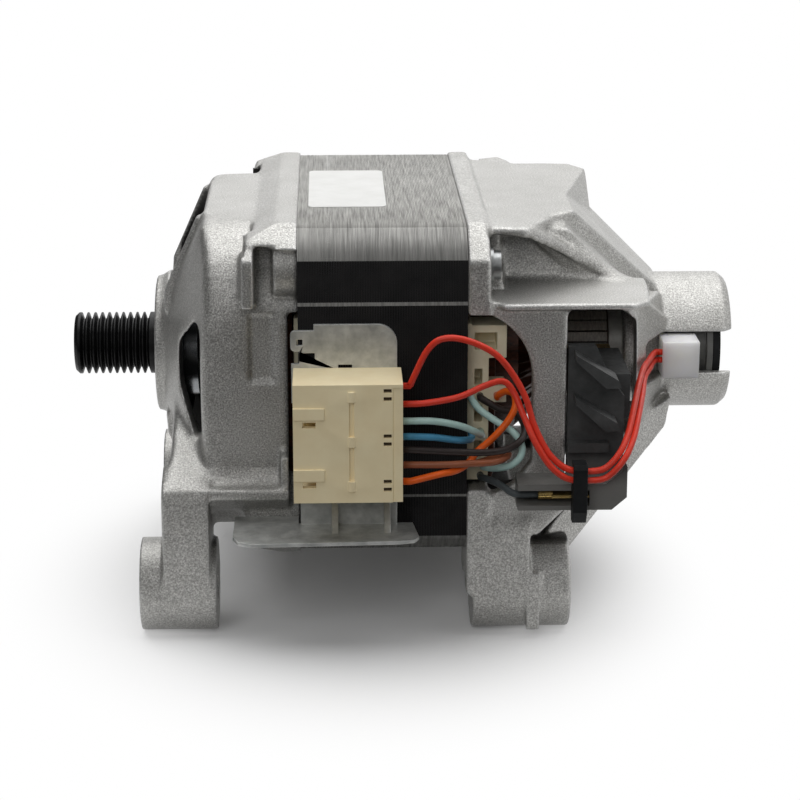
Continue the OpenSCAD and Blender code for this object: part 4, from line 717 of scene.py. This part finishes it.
exit_x, frame_y = -20.48, 7.48
plug_end, plug_in = 66.18, 45
barrel_end, barrel_y, barrel_z = 21.48, -8.3, -27.8
red = (232, 62, 42)
lead("red_lead_upper", red, "red_insulation", 2.0, [
    (exit_x, -11, 8), (exit_x + 2.4, -11, 8), (-16.5, -11.6, 12), (-13, -13, 19.5), (-8.7, -14, 23.3),
    (-1.7, -14, 23), (7.1, -13, 18.6), (12.7, -12, 12), (17, -12, 4), (19.5, -13, -4), (23.5, -14.4, -12),
    (28, -14.9, -16.6), (32, -15, -18.2), (36, -15, -18.4), (41.3, -15, -17.4), (45.8, -13.5, -13),
    (48.9, -8, -8.5), (51.8, 2, -3), (54.6, 14, 0.6), (57.6, 26, 2.6), (plug_end - 5.6, plug_in - 10, 3),
    (plug_end - 3.6, plug_in - 3.4, 3), (plug_end - 2.1, plug_in, 3), (plug_end, plug_in, 3)])
lead("red_lead_lower", red, "red_insulation", 2.0, [
    (exit_x, -11, 2.3), (exit_x + 2.4, -11, 2.3), (-12.7, -11, 2.6), (-3.2, -11, 4.4), (4.7, -10, 7.6),
    (10.3, -9, 8.6), (13.6, -9.6, 5), (16.4, -12.6, -1.4), (19.6, -15.4, -8.6), (23.8, -16.4, -15.4),
    (28, -16.2, -19.4), (32, -15.8, -21), (36, -15.4, -21.2), (41.8, -15.4, -20.2), (47, -14.8, -14.8),
    (50.4, -9, -10), (53.2, 1, -5.2), (55.8, 13, -1.8), (58, 25.4, 0), (plug_end - 5.4, plug_in - 10.4, 0.4),
    (plug_end - 3.6, plug_in - 3.4, 0.4), (plug_end - 2.1, plug_in, 0.4), (plug_end, plug_in, 0.4)])
lead("pale_blue_lead", (188, 222, 216), "pale_blue_insulation", 2.2, [
    (exit_x, -11, -3.1), (exit_x + 2.6, -11, -3.1), (-10.7, -10.8, -3.3), (-3, -8.6, -5.4), (2.3, -5, -8.6),
    (4.5, 0, -11.2), (4.5, frame_y - 2.6, -12), (4.5, frame_y, -12)])
lead("blue_lead", (78, 150, 188), "blue_insulation", 2.2, [
    (exit_x, -11, -8), (exit_x + 2.6, -11, -8), (-10.7, -10.2, -8.6), (-3.4, -7.4, -10.4), (0.6, -3, -11.6),
    (1.5, 1.6, -12), (1.5, frame_y - 2.6, -12), (1.5, frame_y, -12)])
lead("black_lead", (48, 40, 38), "black_insulation", 2.2, [
    (exit_x, -11, -12.2), (exit_x + 2.6, -11, -12.2), (-3, -11.4, -13), (6, -10.6, -13.4),
    (12.4, -8.6, -12.8), (16.6, -6, -10.4), (17.4, -2.6, -7.4), (15, 0.6, -4.4), (10, 3.4, -3.6),
    (4.3, frame_y - 2.6, -0.5), (4.3, frame_y, -0.5)])
lead("brown_lead", (152, 88, 58), "brown_insulation", 2.2, [
    (exit_x, -11, -17), (exit_x + 2.6, -11, -17), (-9, -12, -16.8), (0, -12.4, -16.4), (7.4, -11, -16.4),
    (11.4, -7.8, -16), (12.4, -3.4, -16.4), (8.6, 0.6, -18.6), (4, 2.8, -20.8), (1.7, frame_y - 2.6, -21.8),
    (1.7, frame_y, -21.8)])
lead("orange_lead", (244, 102, 26), "orange_insulation", 2.2, [
    (exit_x, -12, -22), (exit_x + 2.6, -12, -22), (-9, -12.6, -19.6), (-4, -11, -19), (0, -7.6, -17.6),
    (3, -5.2, -14.6), (6.5, -5, -11.6), (9.4, -5, -8.6), (12.4, -4.6, -5), (14.4, -4, -1), (14.2, -2.4, 2.4),
    (12.2, 0.6, 2.8), (10.2, 3, 1.2), (9.6, frame_y - 2.6, -0.4), (9.6, frame_y, -0.4)])
lead("pale_loop_lead", (188, 222, 216), "pale_blue_insulation", 2.2, [
    (1.3, frame_y, -0.5), (1.3, frame_y - 2.6, -0.5), (4, 2.4, -3.6), (9, 1.2, -7), (14, -1, -9.8),
    (16.6, -3.4, -13.2), (16.2, -5, -16.6), (13.4, -5.2, -19.2), (10, -3, -20.8), (7.4, 0.6, -22),
    (5.4, frame_y - 2.6, -23), (5.4, frame_y, -23)])
lead("brush_lead", (74, 80, 82), "grey_insulation", 2.2, [
    (4.6, frame_y, -26.4), (4.6, frame_y - 2.6, -26.4), (7, 0.6, -25.8), (10.4, -4.6, -26), (13, -7.6, -27.2),
    (15.4, barrel_y, barrel_z), (barrel_end - 2.6, barrel_y, barrel_z), (barrel_end, barrel_y, barrel_z)])
